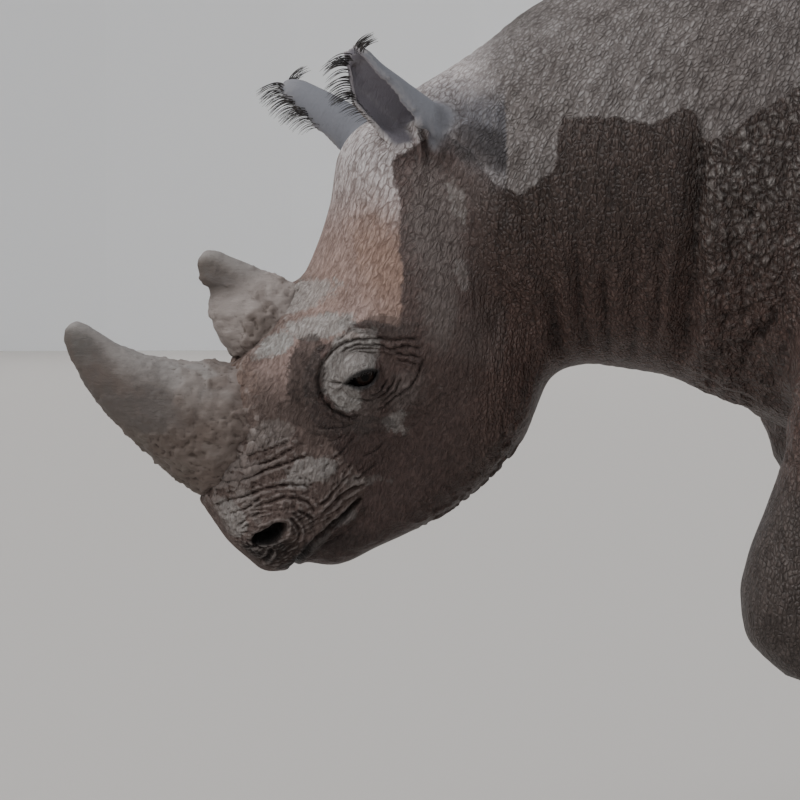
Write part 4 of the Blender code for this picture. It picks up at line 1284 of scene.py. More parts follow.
ragged = skin.times(skin.centred(skin.clouds(20 * MM, 5, 0.62)), 22 * MM)
wetness = skin.ramp(skin.plus(skin.amount("damp"), ragged), -2 * MM, 3 * MM)
lie = skin.blend(skin.math("GREATER_THAN", wetness, 0.5), skin.turned(drift, BACK_SLANT), drift)
pads = skin.ramp(skin.cells(PAD, (0.88, 1, 1.5), lie), 0.0, 0.30)
pad_tone = skin.cells(PAD, (0.88, 1, 1.5), lie, feature="F1", result="Color")
columns = skin.ramp(skin.clouds(9 * MM, 3, 0.55, (0.75, 1, 5.5), lie), 0.38, 0.58)
clefts = skin.ramp(skin.cells(17 * MM, (0.8, 1, 5.5), lie), 0.0, 0.11)
clods = skin.ramp(skin.cells(12 * MM, (1, 1, 1.15), drift), 0.0, 0.42)
face_lines = skin.ramp(skin.cells(FACE_LINE, (1, 1, 3.8), brow), 0.0, 0.16)
hairlines = skin.ramp(skin.clouds(4.5 * MM, 4, 0.6, (0.8, 0.8, 2.6), brow), 0.36, 0.60)
grain = skin.clouds(1.6 * MM, 2)
broad = skin.clouds(0.13, 4)
mottle = skin.clouds(30 * MM, 5, 0.68)
fleck = skin.clouds(9 * MM, 4, 0.65)
lumps = skin.clouds(13 * MM, 4, 0.6)
print("patterns of", len(skin.tree.nodes), "nodes")

# %% [markdown]
# Dust makes the dry hide a chalky grey, palest on the forehead. The wet hide is brown and slightly glossy, so
# each pad catches the light. Towards the belly it is painted lighter and warmer, as light thrown up by the
# floor would make it, and under the jaw darker and redder, as painted shade. It is dull on the legs, and mud
# dries on it in blotches, one of them painted light, and as a crust on the shoulder, painted paler high up as
# if lit from above. The edge between dry and wet is the stored distance, made ragged by noise.

# %% Colour the hide
DUST = (0.228, 0.218, 0.218)
DUST_WARM = (0.204, 0.192, 0.190)
FACE_DUST_HIGH = (0.560, 0.545, 0.560)
FACE_DUST_LOW = (0.320, 0.245, 0.225)
WET = (0.060, 0.040, 0.033)
WET_FACE = (0.095, 0.064, 0.057)
# painted light: the wet hide low on the body, lighter and warmer as if lit from the floor
WET_LOW_BOUNCE_LIT = (0.120, 0.074, 0.062)
# painted shade: the wet jaw, darker, and redder as if lit from the floor
WET_JAW_SHADED = (0.060, 0.036, 0.031)
LEG_DUST = (0.070, 0.061, 0.056)
# drying mud, and in one oval painted light
DRYING_AND_LIT = (0.128, 0.105, 0.098)
MUZZLE = (0.112, 0.085, 0.077)
CAKED_MUD = (0.075, 0.056, 0.050)
MUD_DARK = (0.036, 0.026, 0.023)
PALE_DUST = (0.330, 0.322, 0.310)
RED_EARTH = (0.300, 0.200, 0.155)
HORN_FOOT = (0.124, 0.094, 0.082)
CRUST = (0.262, 0.244, 0.233)
# the ears' grey back, with a painted bluish tint of skylight
EAR_BACK_SKY_TINTED = (0.170, 0.175, 0.196)
# painted shade behind the ears, bluish as under a sky
PAINTED_SHADE_BEHIND_EAR = (0.125, 0.127, 0.143)
EAR_INSIDE = (0.165, 0.155, 0.178)
SHADOW = (0.006, 0.005, 0.005)
STAIN_LIGHT, STAIN_DARK = (1.12, 1.10, 1.08), (0.78, 0.75, 0.73)
WET_DIM = (0.72, 0.70, 0.70)
UNTOUCHED = (1.0, 1.0, 1.0)


def laid(name, ragged_by, soft=2.5 * MM):
    """How much of a patch shows: its stored depth with a ragged edge, times its strength."""
    broken = skin.times(skin.centred(mottle), ragged_by)
    small = skin.times(skin.centred(fleck), ragged_by)
    depth = skin.plus(skin.amount(name + "_depth"), skin.plus(broken, small))
    return skin.times(skin.ramp(depth, -soft, soft), skin.amount(name))


face_dust = skin.blend(skin.ramp(down, -0.27, -0.14), FACE_DUST_HIGH, FACE_DUST_LOW)
dry_colour = skin.blend(skin.ramp(broad, 0.40, 0.62), DUST, DUST_WARM)
dry_colour = skin.blend(skin.times(crust, 0.25), dry_colour, WET)
dry_colour = skin.blend(fine, dry_colour, face_dust)
dry_colour = skin.blend(skin.times(muzzle, 0.95), dry_colour, MUZZLE)
stained = skin.blend(skin.ramp(mottle, 0.38, 0.68), STAIN_LIGHT, STAIN_DARK)
dry_colour = skin.darken(1.0, dry_colour, stained)
dry_colour = skin.blend(laid("red", 40 * MM, 24 * MM), dry_colour, RED_EARTH)

wet_colour = skin.blend(fine, WET, WET_FACE)
# painted light and shade: lower down, the wet body is made lighter and warmer and the wet jaw darker
low_start = skin.ramp(fine, 0.0, 1.0, 1.02, 0.84)
low_end = skin.ramp(fine, 0.0, 1.0, 0.82, 0.68)
low_down = skin.ramp(skin.height(), low_start, low_end)
wet_colour = skin.blend(skin.times(low_down, 0.85), wet_colour, skin.blend(fine, WET_LOW_BOUNCE_LIT, WET_JAW_SHADED))
dimmed = skin.darken(1.0, wet_colour, WET_DIM)
wet_colour = skin.blend(skin.ramp(fleck, 0.40, 0.70), wet_colour, dimmed)
on_legs = skin.times(skin.ramp(skin.height(), 0.74, 0.62), skin.rest(fine))
wet_colour = skin.blend(skin.times(on_legs, 0.75), wet_colour, LEG_DUST)
splash = skin.times(skin.ramp(skin.clouds(20 * MM, 4, 0.7), 0.60, 0.68), skin.ramp(mottle, 0.52, 0.60))
wet_colour = skin.blend(skin.times(splash, 0.5), wet_colour, DRYING_AND_LIT)
# drying mud in ovals, one of which is painted light
wet_colour = skin.blend(laid("drying_and_lit", 34 * MM, 12 * MM), wet_colour, DRYING_AND_LIT)
clodded = skin.times(crust, skin.ramp(skin.clouds(90 * MM, 3), 0.28, 0.44))
clodded = skin.times(clodded, skin.ramp(skin.height(), 0.64, 0.78))
# painted light: the dried crust is paler high up, as if lit from above
painted_top_light = skin.ramp(skin.height(), 0.86, 1.04, 0.25, 1.0)
wet_colour = skin.blend(skin.times(skin.times(clodded, clods), painted_top_light), wet_colour, CRUST)
print("dry and wet hide of", len(skin.tree.nodes), "nodes")

# %% [markdown]
# The dry and the wet hide meet at the water line, and what lies on either comes over them: collars, dust,
# mud, painted shade, and the ears. Last, each pattern darkens its own cracks, hollows get dirt and painted
# shade, and dry ridges are rubbed and given a painted highlight.

# %% Join the colours and darken the cracks
IN_SHADE = (0.34, 0.31, 0.30)
CRACK_BODY, CRACK_FACE = (0.58, 0.55, 0.54), (0.88, 0.86, 0.85)
PAD_DARK, PAD_LIGHT = (0.88, 0.88, 0.88), (1.10, 1.10, 1.10)
CLEFT, COLUMN_GAP = (0.52, 0.48, 0.46), (0.70, 0.68, 0.67)
FACE_CRACK, HAIRLINE = (0.42, 0.36, 0.34), (0.52, 0.48, 0.46)
# dirt and painted shade for hollows, and rubbed ridges with a painted highlight
DIRT_AND_SHADE, RUBBED_AND_HIGHLIT = (0.36, 0.31, 0.29), (0.42, 0.38, 0.36)

colour = skin.blend(wetness, dry_colour, wet_colour)
colour = skin.blend(skin.times(skin.amount("collar"), 0.65), colour, HORN_FOOT)
colour = skin.blend(laid("pale", 16 * MM), colour, PALE_DUST)
mud_colour = skin.blend(skin.ramp(fleck, 0.42, 0.60), CAKED_MUD, MUD_DARK)
colour = skin.blend(laid("mud", 15 * MM), colour, mud_colour)
# painted shade behind the ears
colour = skin.blend(laid("painted_blue_shade", 12 * MM, 26 * MM), colour, PAINTED_SHADE_BEHIND_EAR)
# the ears: the colour of the back carries a painted tint of skylight
colour = skin.blend(ear, colour, skin.blend(skin.amount("ear_inside"), EAR_BACK_SKY_TINTED, EAR_INSIDE))
colour = skin.darken(laid("shade", 10 * MM, 7 * MM), colour, IN_SHADE)

bare = skin.rest(ear)
colour = skin.darken(skin.times(bare, skin.rest(pads)), colour, skin.blend(fine, CRACK_BODY, CRACK_FACE))
tone = skin.blend(pad_tone, PAD_DARK, PAD_LIGHT)
colour = skin.darken(skin.times(bare, skin.rest(fine)), colour, tone)
cleft_shade = skin.times(skin.rest(clefts), skin.rest(fine))
cleft_shade = skin.times(cleft_shade, skin.ramp(wetness, 0.0, 1.0, 0.42, 0.5))
colour = skin.darken(cleft_shade, colour, CLEFT)
colour = skin.darken(skin.rest(columns), colour, skin.blend(fine, COLUMN_GAP, UNTOUCHED))
on_brow = skin.times(fine, skin.ramp(down, -0.06, -0.22, 0.45, 1.0))
in_lines = skin.times(skin.times(skin.rest(face_lines), on_brow), bare)
colour = skin.darken(skin.times(in_lines, 0.75), colour, FACE_CRACK)
in_hairlines = skin.times(skin.times(skin.rest(hairlines), fine), bare)
colour = skin.darken(skin.times(in_hairlines, 0.60), colour, HAIRLINE)
# dirt and painted shade in the hollows
colour = skin.darken(skin.ramp(crease, 0.08, 0.65), colour, DIRT_AND_SHADE)
# dry ridges rubbed, with a painted highlight
ridge = skin.times(skin.ramp(crease, -0.08, -0.5), skin.rest(wetness))
colour = skin.blend(skin.times(ridge, 0.22), colour, RUBBED_AND_HIGHLIT)
colour = skin.blend(skin.amount("dark"), colour, SHADOW)
print("coloured hide of", len(skin.tree.nodes), "nodes")

# %% [markdown]
# The relief adds up the same patterns as heights, in units of the bump's depth: pads and grooves on the body,
# clods on the shoulder, lines on the face, and lumps where mud lies. Wet skin shines a little more than dust.

# %% Raise the relief and finish the hide
on_body = skin.rest(skin.times(skin.math("MAXIMUM", fine, ear), 0.82))
grooves = skin.plus(columns, skin.times(clefts, 0.5))
relief = skin.times(skin.plus(skin.times(pads, 1.2), grooves), on_body)
clod_rise = skin.ramp(wetness, 0.0, 1.0, 0.6, 3.2)
relief = skin.plus(relief, skin.times(skin.times(clods, clodded), clod_rise))
relief = skin.plus(relief, skin.times(skin.times(face_lines, on_brow), 0.55))
relief = skin.plus(relief, skin.times(skin.times(hairlines, fine), 0.85))
relief = skin.times(relief, skin.rest(skin.times(ear, 0.8)))
caked = skin.plus(skin.times(laid("mud", 15 * MM), 2.4), skin.times(skin.amount("collar"), 1.6))
relief = skin.plus(relief, skin.times(skin.plus(lumps, fleck), caked))
relief = skin.plus(relief, skin.times(grain, 0.12))
normal = skin.bump(relief, 1.15 * MM)
roughness = skin.ramp(wetness, 0.0, 1.0, 0.88, 0.48)
hide_finish = skin.finish(colour, roughness, normal, Specular_IOR_Level=0.36)
hide.data.materials.clear()
hide.data.materials.append(hide_finish)
print("hide finish of", len(skin.tree.nodes), "nodes")

# %% [markdown]
# ## Horns
# A horn has no bone in it. It is a bundle of hair-like fibres grown solid, worn smooth at the tip and frayed
# near the skin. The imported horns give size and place. A copy is wrapped in a fine net and ironed round, and
# then noise that is long in the horn's own direction raises the fibres, while short noise makes chips and
# dents. Mud is caked near the base, in a crust along the underside and the top, and in a few clots. Beside
# the hide the horn is pared, so that it grows out of its collar of skin. The rear horn has lost a piece of
# its front edge.

# %% Wear the horns
HORN_NET = 2.8 * MM
HORN_IRON, HORN_ROUNDS = 0.5, 90
FIBRE = 4.0 * MM
FRAYED_LENGTH = 70 * MM
FOOT_REACH, FOOT_PARED = 16 * MM, 3.5 * MM


def horn_frame(points):
    """How high each point lies along the line from the horn's base to its tip, and that line."""
    head_middle = between_eyes + down_face * 0.10
    away = np.linalg.norm(points - head_middle, axis=1)
    tip = points[np.argmax(away)]
    root = points[away < np.quantile(away, 0.25)].mean(axis=0)
    direction = tip - root
    length = np.linalg.norm(direction)
    return (points - root) @ (direction / length), direction / length, length


def crumbly(points, size, seed, floor):
    """Noise whose hollows are filled up to a floor, so that only crumbs stand out."""
    return np.maximum(layered_noise(points, size, seed, 2), floor)


def worn_horn(name, node, seed, chalky):
    """A horn with fibres, chips and mud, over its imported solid."""
    horn = remesh(welded_copy(name, [node]), HORN_NET)
    iron(horn, np.full(len(horn.data.vertices), HORN_IRON), HORN_ROUNDS)
    points, normals = read_points(horn.data), read_normals(horn.data)
    height, direction, length = horn_frame(points)
    share = height / length
    along = points - 0.88 * (points @ direction)[:, None] * direction
    frayed = 1 - step_up(height, 0.1 * FRAYED_LENGTH, FRAYED_LENGTH)
    bump = (0.4 * MM + 0.6 * MM * frayed) * layered_noise(along, FIBRE, seed, 2)
    bump += (1.0 * MM + 1.6 * MM * frayed) * layered_noise(points, 22 * MM, seed + 5, 3)
    rough = step_up(noise(points, 40 * MM, seed + 8), -0.4, 0.3)
    bump += 1.3 * MM * crumbly(points, 8 * MM, seed + 7, -0.1) * rough
    mud = step_up(layered_noise(points, 30 * MM, seed + 9, 2), -0.05, 0.3)
    mud *= 1 - step_up(share, 0.25, 0.60)
    bump += mud * (1.0 * MM + 2.0 * MM * layered_noise(points, 15 * MM, seed + 12, 2))
    on_top = step_up(normals[:, 2], 0.55, 0.8) * step_up(share, 0.1, 0.25) * (1 - step_up(share, 0.6, 0.8))
    crusted = np.maximum(1 - step_up(normals[:, 2], -0.85, -0.35), 0.8 * on_top)
    bump += crusted * 2.4 * MM * crumbly(points, 7 * MM, seed + 18, -0.1)
    clot = step_up(layered_noise(points, 40 * MM, seed + 21, 2), 0.18, 0.34)
    clot *= 1 - step_up(share, 0.35, 0.55)
    bump += clot * (1.4 * MM + 3.2 * MM * crumbly(points, 6.5 * MM, seed + 24, -0.15))
    foot = np.exp(-((gap_to([hide.data], points, 0.06) / FOOT_REACH) ** 2))
    bump += foot * (1.5 * MM * layered_noise(points, 12 * MM, seed + 15, 2) - FOOT_PARED)
    points = points + normals * bump[:, None]
    write_points(horn.data, points)
    store(horn.data, "height", share)
    store(horn.data, "foot", foot)
    store(horn.data, "upward", normals[:, 2])
    store(horn.data, "chalky", np.full(len(points), chalky) * (1 - step_up(share, 0.45, 0.70)))
    store(horn.data, "mud", mud)
    store(horn.data, "clot", clot)
    store(horn.data, "crease", np.clip(hollows(horn.data, 1) * 3.0, -1, 1))
    return horn


def break_edge(horn, steps):
    """Takes chips off a horn's front edge: each step is a height over the floor, a reach and a depth."""
    points = read_points(horn.data)
    direction = horn_frame(points)[1]
    forward = unit(ahead - direction * (ahead @ direction))
    front = points @ forward
    edge = step_up(front, np.quantile(front, 0.35), np.quantile(front, 0.75))
    for height, reach, depth in steps:
        ragged = 2.5 * MM * noise(points, 9 * MM, 77)
        near = np.exp(-(((points[:, 2] + ragged - height) / reach) ** 4))
        points = points - forward * (near * edge * depth)[:, None]
    write_points(horn.data, points)


horn_front = worn_horn("horn_front_worn", "horn_front", 101, 0.0)
horn_rear = worn_horn("horn_rear_worn", "horn_rear", 201, 0.8)
REAR_CHIPS = ((0.890, 11 * MM, 7 * MM), (0.912, 4 * MM, -2.5 * MM), (0.866, 6 * MM, -3 * MM))
break_edge(horn_rear, REAR_CHIPS)
print("horns of", count_triangles(horn_front.data), "and", count_triangles(horn_rear.data), "triangles")

# %% [markdown]
# A worn horn is grey at the tip and brown near the skin, stained in long streaks. Its upper side is pale with
# dust, mud lies round its foot, and the underside, which ploughs the wallow, is dark. The rear horn is the
# chalkier one: a share of chalk, stored on its points, makes the same paint serve both.

# %% Paint the horns
HORN_GREY = (0.082, 0.069, 0.063)
HORN_BROWN = (0.102, 0.076, 0.063)
HORN_TIP = (0.078, 0.073, 0.067)
HORN_DUST = (0.225, 0.210, 0.200)
DRIED_MUD = (0.150, 0.124, 0.110)
CHALK = (0.285, 0.250, 0.232)
UNDERSIDE = (0.092, 0.075, 0.062)
HORN_STREAK = (0.10, 0.08, 0.07)
HORN_HOLLOW_DARK = (0.48, 0.43, 0.40)
keratin = Paint("worn_keratin")
height = keratin.amount("height")
fibres = keratin.clouds(5 * MM, 4, 0.6, (3.0, 3.0, 0.8))
stain = keratin.clouds(45 * MM, 5, 0.62)
speck = keratin.clouds(3 * MM, 3, 0.6)
colour = keratin.blend(keratin.ramp(height, 0.02, 0.42), HORN_BROWN, HORN_GREY)
colour = keratin.blend(keratin.ramp(height, 0.75, 1.0), colour, HORN_TIP)
colour = keratin.blend(keratin.times(keratin.ramp(stain, 0.42, 0.66), 0.6), colour, HORN_BROWN)
streaks = keratin.times(keratin.ramp(fibres, 0.45, 0.70), 0.35)
colour = keratin.blend(streaks, colour, HORN_STREAK)
dusty = keratin.plus(keratin.amount("upward"), keratin.times(keratin.centred(stain), 1.6))
colour = keratin.blend(keratin.times(keratin.ramp(dusty, 0.15, 0.85), 0.75), colour, HORN_DUST)
colour = keratin.blend(keratin.times(keratin.amount("mud"), 0.55), colour, DRIED_MUD)
colour = keratin.blend(keratin.amount("chalky"), colour, CHALK)
colour = keratin.blend(keratin.times(keratin.amount("clot"), 0.6), colour, HORN_BROWN)
colour = keratin.blend(keratin.ramp(dusty, -0.50, -0.95), colour, UNDERSIDE)
foot = keratin.times(keratin.amount("foot"), keratin.rest(keratin.amount("chalky")))
colour = keratin.blend(keratin.times(foot, 0.7), colour, HORN_FOOT)
# darker in the horn's hollows
hollow = keratin.ramp(keratin.amount("crease"), 0.05, 0.5)
colour = keratin.darken(hollow, colour, HORN_HOLLOW_DARK)
relief = keratin.plus(keratin.times(fibres, 0.8), keratin.times(speck, 0.5))
roughness = keratin.ramp(stain, 0.3, 0.7, 0.62, 0.82)
keratin_finish = keratin.finish(colour, roughness, keratin.bump(relief, 1.3 * MM))
for horn in (horn_front, horn_rear):
    horn.data.materials.clear()
    horn.data.materials.append(keratin_finish)
print("horn finish of", len(keratin.tree.nodes), "nodes")

# %% [markdown]
# ## Eyes
# An eye is a ball with a second, steeper dome on it, the cornea. Each is spun round its own outward axis, so
# rings of points follow the iris. The angle from that axis is stored, and the paint reads it: black pupil,
# dark brown iris, then the brownish white. A thin clear coat gives the wet glint.

# %% Turn the eyeballs
CORNEA_ANGLE = math.radians(36)
CORNEA_RISE = 1.1 * MM
EYE_RINGS, EYE_SIDES = 40, 64
GAZE_AHEAD, GAZE_DOWN = 0.10, 0.22


def make_eye(side):
    builder = bmesh.new()
    bmesh.ops.create_uvsphere(builder, u_segments=EYE_SIDES, v_segments=EYE_RINGS, radius=EYE_RADIUS)
    outward = unit(eye_centres[side] - between_eyes) + GAZE_AHEAD * ahead - GAZE_DOWN * up
    turn = Vector(outward).to_track_quat("Z", "Y").to_matrix()
    angles = []
    for vertex in builder.verts:
        angle = math.acos(max(-1.0, min(1.0, vertex.co.z / EYE_RADIUS)))
        dome = max(0.0, 1 - (angle / CORNEA_ANGLE) ** 2)
        vertex.co = turn @ (vertex.co * (1 + CORNEA_RISE * dome / EYE_RADIUS)) + Vector(eye_centres[side])
        angles.append(angle)
    mesh = bpy.data.meshes.new(f"eyeball_{side}")
    builder.to_mesh(mesh)
    builder.free()
    store(mesh, "angle", np.array(angles))
    eye = bpy.data.objects.new(f"eyeball_{side}", mesh)
    bpy.context.scene.collection.objects.link(eye)
    return eye


PUPIL, IRIS = (0.001, 0.001, 0.001), (0.014, 0.008, 0.006)
IRIS_RIM, EYE_WHITE = (0.004, 0.004, 0.005), (0.022, 0.017, 0.016)
iris = Paint("wet_eye")
angle = iris.amount("angle")
colour = iris.blend(iris.ramp(angle, 0.20, 0.26), PUPIL, IRIS)
colour = iris.blend(iris.ramp(angle, 0.50, 0.62), colour, IRIS_RIM)
colour = iris.blend(iris.ramp(angle, 0.85, 1.15), colour, EYE_WHITE)
eye_finish = iris.finish(colour, 0.12, Specular_IOR_Level=0.08, Coat_Weight=0.05, Coat_Roughness=0.03)
eyeballs = {side: make_eye(side) for side in eye_centres}
for eye in eyeballs.values():
    eye.data.materials.append(eye_finish)
print("eyes turned outwards and a little down")

# %% [markdown]
# ## Nails
# Each foot has three broad nails. A copy of the three is wrapped and ironed together, then ringed with fine
# growth lines, level with the ground.

# %% Round the nails
NAIL_NET = 3.0 * MM
NAIL_IRON, NAIL_ROUNDS = 0.4, 40
feet = [f"{end}_{side}" for end in ("front", "rear") for side in ("left", "right")]
nails = {}
for foot in feet:
    nodes = [f"nail_{foot}_{place}" for place in ("middle", "inner", "outer")]
    nail = remesh(welded_copy(f"nails_{foot}_worn", nodes), NAIL_NET)
    iron(nail, np.full(len(nail.data.vertices), NAIL_IRON), NAIL_ROUNDS)
    points, normals = read_points(nail.data), read_normals(nail.data)
    ridges = 0.35 * MM * np.sin(points[:, 2] / (1.1 * MM) + 2 * noise(points, 14 * MM, 5))
    ridges += 0.8 * MM * layered_noise(points, 16 * MM, 15, 2)
    write_points(nail.data, np.maximum(points + normals * ridges[:, None], (-9, -9, 0)))
    store(nail.data, "height", step_up(points[:, 2], 0.0, 0.07))
    nails[foot] = (nail, nodes)

NAIL_PALE, NAIL_SCUFFED = (0.165, 0.140, 0.122), (0.085, 0.068, 0.058)
NAIL_RING, NAIL_DUST = (0.055, 0.044, 0.038), (0.110, 0.088, 0.072)
claw = Paint("worn_nail")
scuffs = claw.clouds(12 * MM, 4, 0.6, (1, 1, 0.4))
rings = claw.clouds(9 * MM, 3, 0.6, (3, 3, 0.25))
colour = claw.blend(claw.ramp(scuffs, 0.35, 0.68), NAIL_PALE, NAIL_SCUFFED)
colour = claw.blend(claw.times(claw.ramp(rings, 0.45, 0.7), 0.4), colour, NAIL_RING)
colour = claw.blend(claw.ramp(claw.amount("height"), 0.35, 0.0), colour, NAIL_DUST)
nail_finish = claw.finish(colour, claw.ramp(scuffs, 0.3, 0.7, 0.45, 0.7), claw.bump(rings, 0.6 * MM))
for nail, _ in nails.values():
    nail.data.materials.clear()
    nail.data.materials.append(nail_finish)
print(len(nails), "sets of nails")

# %% [markdown]
# ## Hairs
# A rhinoceros is almost bald: it keeps fringes on the ears, lashes, and a flat tuft of bristles on the tail.
# Every hair is the same small thing, a curved and tapered thread, so Geometry Nodes make one and set it on
# each root, aimed and bent by numbers that the roots carry. The tree ends in real mesh, as an export needs.

# %% Build the hair maker
HAIR_SEGMENTS, HAIR_SIDES = 7, 4


def bristle_tree(name, finish):
    """A tree that sets one curved, tapered hair on every point: aim, bend and reach are the points' own."""
    tree = bpy.data.node_groups.new(name, "GeometryNodeTree")
    face = tree.interface
    face.new_socket("Roots", in_out="INPUT", socket_type="NodeSocketGeometry")
    for label, value in (("Thickness", 0.02), ("Bend", 0.3), ("Unevenness", 0.25)):
        face.new_socket(label, in_out="INPUT", socket_type="NodeSocketFloat").default_value = value
    face.new_socket("Hairs", in_out="OUTPUT", socket_type="NodeSocketGeometry")

    def add(kind, inputs=None, **settings):
        node = tree.nodes.new(kind)
        for setting, value in settings.items():
            setattr(node, setting, value)
        for socket, value in (inputs or {}).items():
            if isinstance(value, bpy.types.NodeSocket):
                tree.links.new(value, node.inputs[socket])
            else:
                node.inputs[socket].default_value = value
        return node

    given = add("NodeGroupInput").outputs
    far = add("ShaderNodeCombineXYZ", {"X": given["Bend"], "Z": 1.0}).outputs[0]
    bow = {"Resolution": HAIR_SEGMENTS, "Start": (0, 0, 0), "Middle": (0, 0, 0.55), "End": far}
    arc = add("GeometryNodeCurveQuadraticBezier", bow)
    share = add("GeometryNodeSplineParameter").outputs["Factor"]
    left = add("ShaderNodeMath", {0: 1.06, 1: share}, operation="SUBTRACT").outputs[0]
    wide = add("ShaderNodeMath", {0: left, 1: 0.6}, operation="POWER").outputs[0]
    radius = add("ShaderNodeMath", {0: wide, 1: given["Thickness"]}, operation="MULTIPLY").outputs[0]
    tapered = add("GeometryNodeSetCurveRadius", {"Curve": arc.outputs[0], "Radius": radius})
    ring = add("GeometryNodeCurvePrimitiveCircle", {"Resolution": HAIR_SIDES, "Radius": 1.0})
    swept = {"Curve": tapered.outputs[0], "Profile Curve": ring.outputs[0]}
    swept |= {"Scale": radius, "Fill Caps": True}
    thread = add("GeometryNodeCurveToMesh", swept)
    aim = add("GeometryNodeInputNamedAttribute", {"Name": "aim"}, data_type="FLOAT_VECTOR").outputs[0]
    lean = add("GeometryNodeInputNamedAttribute", {"Name": "lean"}, data_type="FLOAT_VECTOR").outputs[0]
    reach = add("GeometryNodeInputNamedAttribute", {"Name": "reach"}, data_type="FLOAT").outputs[0]
    stand = add("FunctionNodeAlignRotationToVector", {"Vector": aim}, axis="Z").outputs[0]
    toward = {"Rotation": stand, "Vector": lean}
    turned = add("FunctionNodeAlignRotationToVector", toward, axis="X", pivot_axis="Z").outputs[0]
    low = add("ShaderNodeMath", {0: 1.0, 1: given["Unevenness"]}, operation="SUBTRACT").outputs[0]
    uneven = add("FunctionNodeRandomValue", {2: low, 3: 1.0, "Seed": 7}, data_type="FLOAT").outputs[1]
    size = add("ShaderNodeMath", {0: reach, 1: uneven}, operation="MULTIPLY").outputs[0]
    planting = {"Points": given["Roots"], "Instance": thread.outputs[0], "Rotation": turned, "Scale": size}
    placed = add("GeometryNodeInstanceOnPoints", planting)
    real = add("GeometryNodeRealizeInstances", {"Geometry": placed.outputs[0]})
    painted = add("GeometryNodeSetMaterial", {"Geometry": real.outputs[0], "Material": finish})
    out = add("NodeGroupOutput")
    tree.links.new(painted.outputs[0], out.inputs[0])
    return tree


HAIR_BLACK, HAIR_BROWN = (0.010, 0.008, 0.008), (0.032, 0.025, 0.021)
hair_paint = Paint("dark_bristle")
sheen = hair_paint.clouds(12 * MM, 2)
hair_colour = hair_paint.blend(hair_paint.ramp(sheen, 0.4, 0.65), HAIR_BLACK, HAIR_BROWN)
hair_finish = hair_paint.finish(hair_colour, 0.45)
hair_tree = bristle_tree("bristles", hair_finish)
print("bristle tree of", len(hair_tree.nodes), "nodes")

# %% [markdown]
# A piece of hairs starts as loose points, its roots. Each carries where its hair aims, which way it leans,
# and how long it is. The tree turns them into mesh, and then each hair gets a small patch of the bake map, at
# its root's place on the unrolled skin.

# %% Plant and map the hairs
BAKE_PATCH = 0.003


def grow_hairs(name, roots, aims, leans, reaches, bake_places, **inputs):
    """A piece of hairs on the given roots, as plain mesh, with its own bake map."""
    mesh = bpy.data.meshes.new(name)
    mesh.from_pydata([tuple(root) for root in roots], [], [])
    for label, values in (("aim", aims), ("lean", leans)):
        attribute = mesh.attributes.new(label, "FLOAT_VECTOR", "POINT")
        attribute.data.foreach_set("vector", np.array(values, np.float32).ravel())
    store(mesh, "reach", np.array(reaches))
    piece = bpy.data.objects.new(name, mesh)
    bpy.context.scene.collection.objects.link(piece)
    maker = piece.modifiers.new("hairs", "NODES")
    maker.node_group = hair_tree
    for socket in hair_tree.interface.items_tree:
        if socket.name in inputs:
            maker[socket.identifier] = inputs[socket.name]
    bake(piece)
    lay_bake_map(piece.data, bake_places)
    print(name, len(roots), "hairs,", count_triangles(piece.data), "triangles")
    return piece


def lay_bake_map(mesh, bake_places):
    """A map where each hair is a small patch at its root's place on the unrolled skin."""
    per_hair = len(mesh.vertices) // len(bake_places)
    layer = mesh.uv_layers.new(name="OFBake")
    loops = np.empty(len(mesh.loops), np.int32)
    mesh.loops.foreach_get("vertex_index", loops)
    ring = (loops % per_hair) // HAIR_SIDES
    spoke = (loops % per_hair) % HAIR_SIDES
    shift = np.stack([spoke / HAIR_SIDES, ring / (HAIR_SEGMENTS + 1)], axis=1) * BAKE_PATCH
    patches = np.array(bake_places)[loops // per_hair] + shift
    layer.data.foreach_set("uv", patches.astype(np.float32).ravel())


print("a bake patch is", BAKE_PATCH, "of the map wide")

# %% [markdown]
# The roots are found on the finished hide. An ear is cut into thin slices from base to tip, and in each slice
# the foremost points are its leading edge. Thinned to an even spacing, they carry a comb of long hairs that
# droop forward, while a small tuft curls back from the far corner of the tip.

# %% Grow the fringes and tufts of the ears
EAR_HAIR = 29 * MM
EDGE_STEP = 0.03
FRINGE_SPACING, TUFT_SPACING = {"left": 1.8 * MM, "right": 2.5 * MM}, 0.9 * MM
FRINGE_FROM = {"left": 0.50, "right": 0.58}
TUFT_FROM = 0.93


def evenly(points, candidates, spacing):
    """Picks candidates that are at least the spacing apart, in a fixed order."""
    kept = []
    for index in candidates:
        if all(np.linalg.norm(points[index] - points[other]) > spacing for other in kept):
            kept.append(index)
    return np.array(kept, int)


def unrolled(points, axis, around):
    """Places on a strip of skin unrolled along an axis, from 0 to 1."""
    along = points @ unit(np.array(axis, float))
    across = points @ unit(np.array(around, float))
    spread = max(np.ptp(along), np.ptp(across), 1e-6)
    return np.stack([(along - along.min()) / spread, (across - across.min()) / spread], axis=1) * 0.9 + 0.02


def ear_edge(points, normals, node, hand):
    """The points along an ear's leading edge, or its trailing edge for a hand of -1, and all shares."""
    middle, _, leading, _ = ear_frame(node)
    own, _, share = ear_shares(points, normals, node)
    out = hand * ((points - middle) @ leading)
    edge = []
    for low in np.arange(0.16, 1.0, EDGE_STEP):
        band = np.nonzero((own > 0.9) & (share >= low) & (share < low + EDGE_STEP))[0]
        width = 3.5 * MM + 7 * MM * (low > 0.92) * (hand > 0)
        edge.extend(band[out[band] > out[band].max(initial=-1) - width])
    return np.array(edge), share


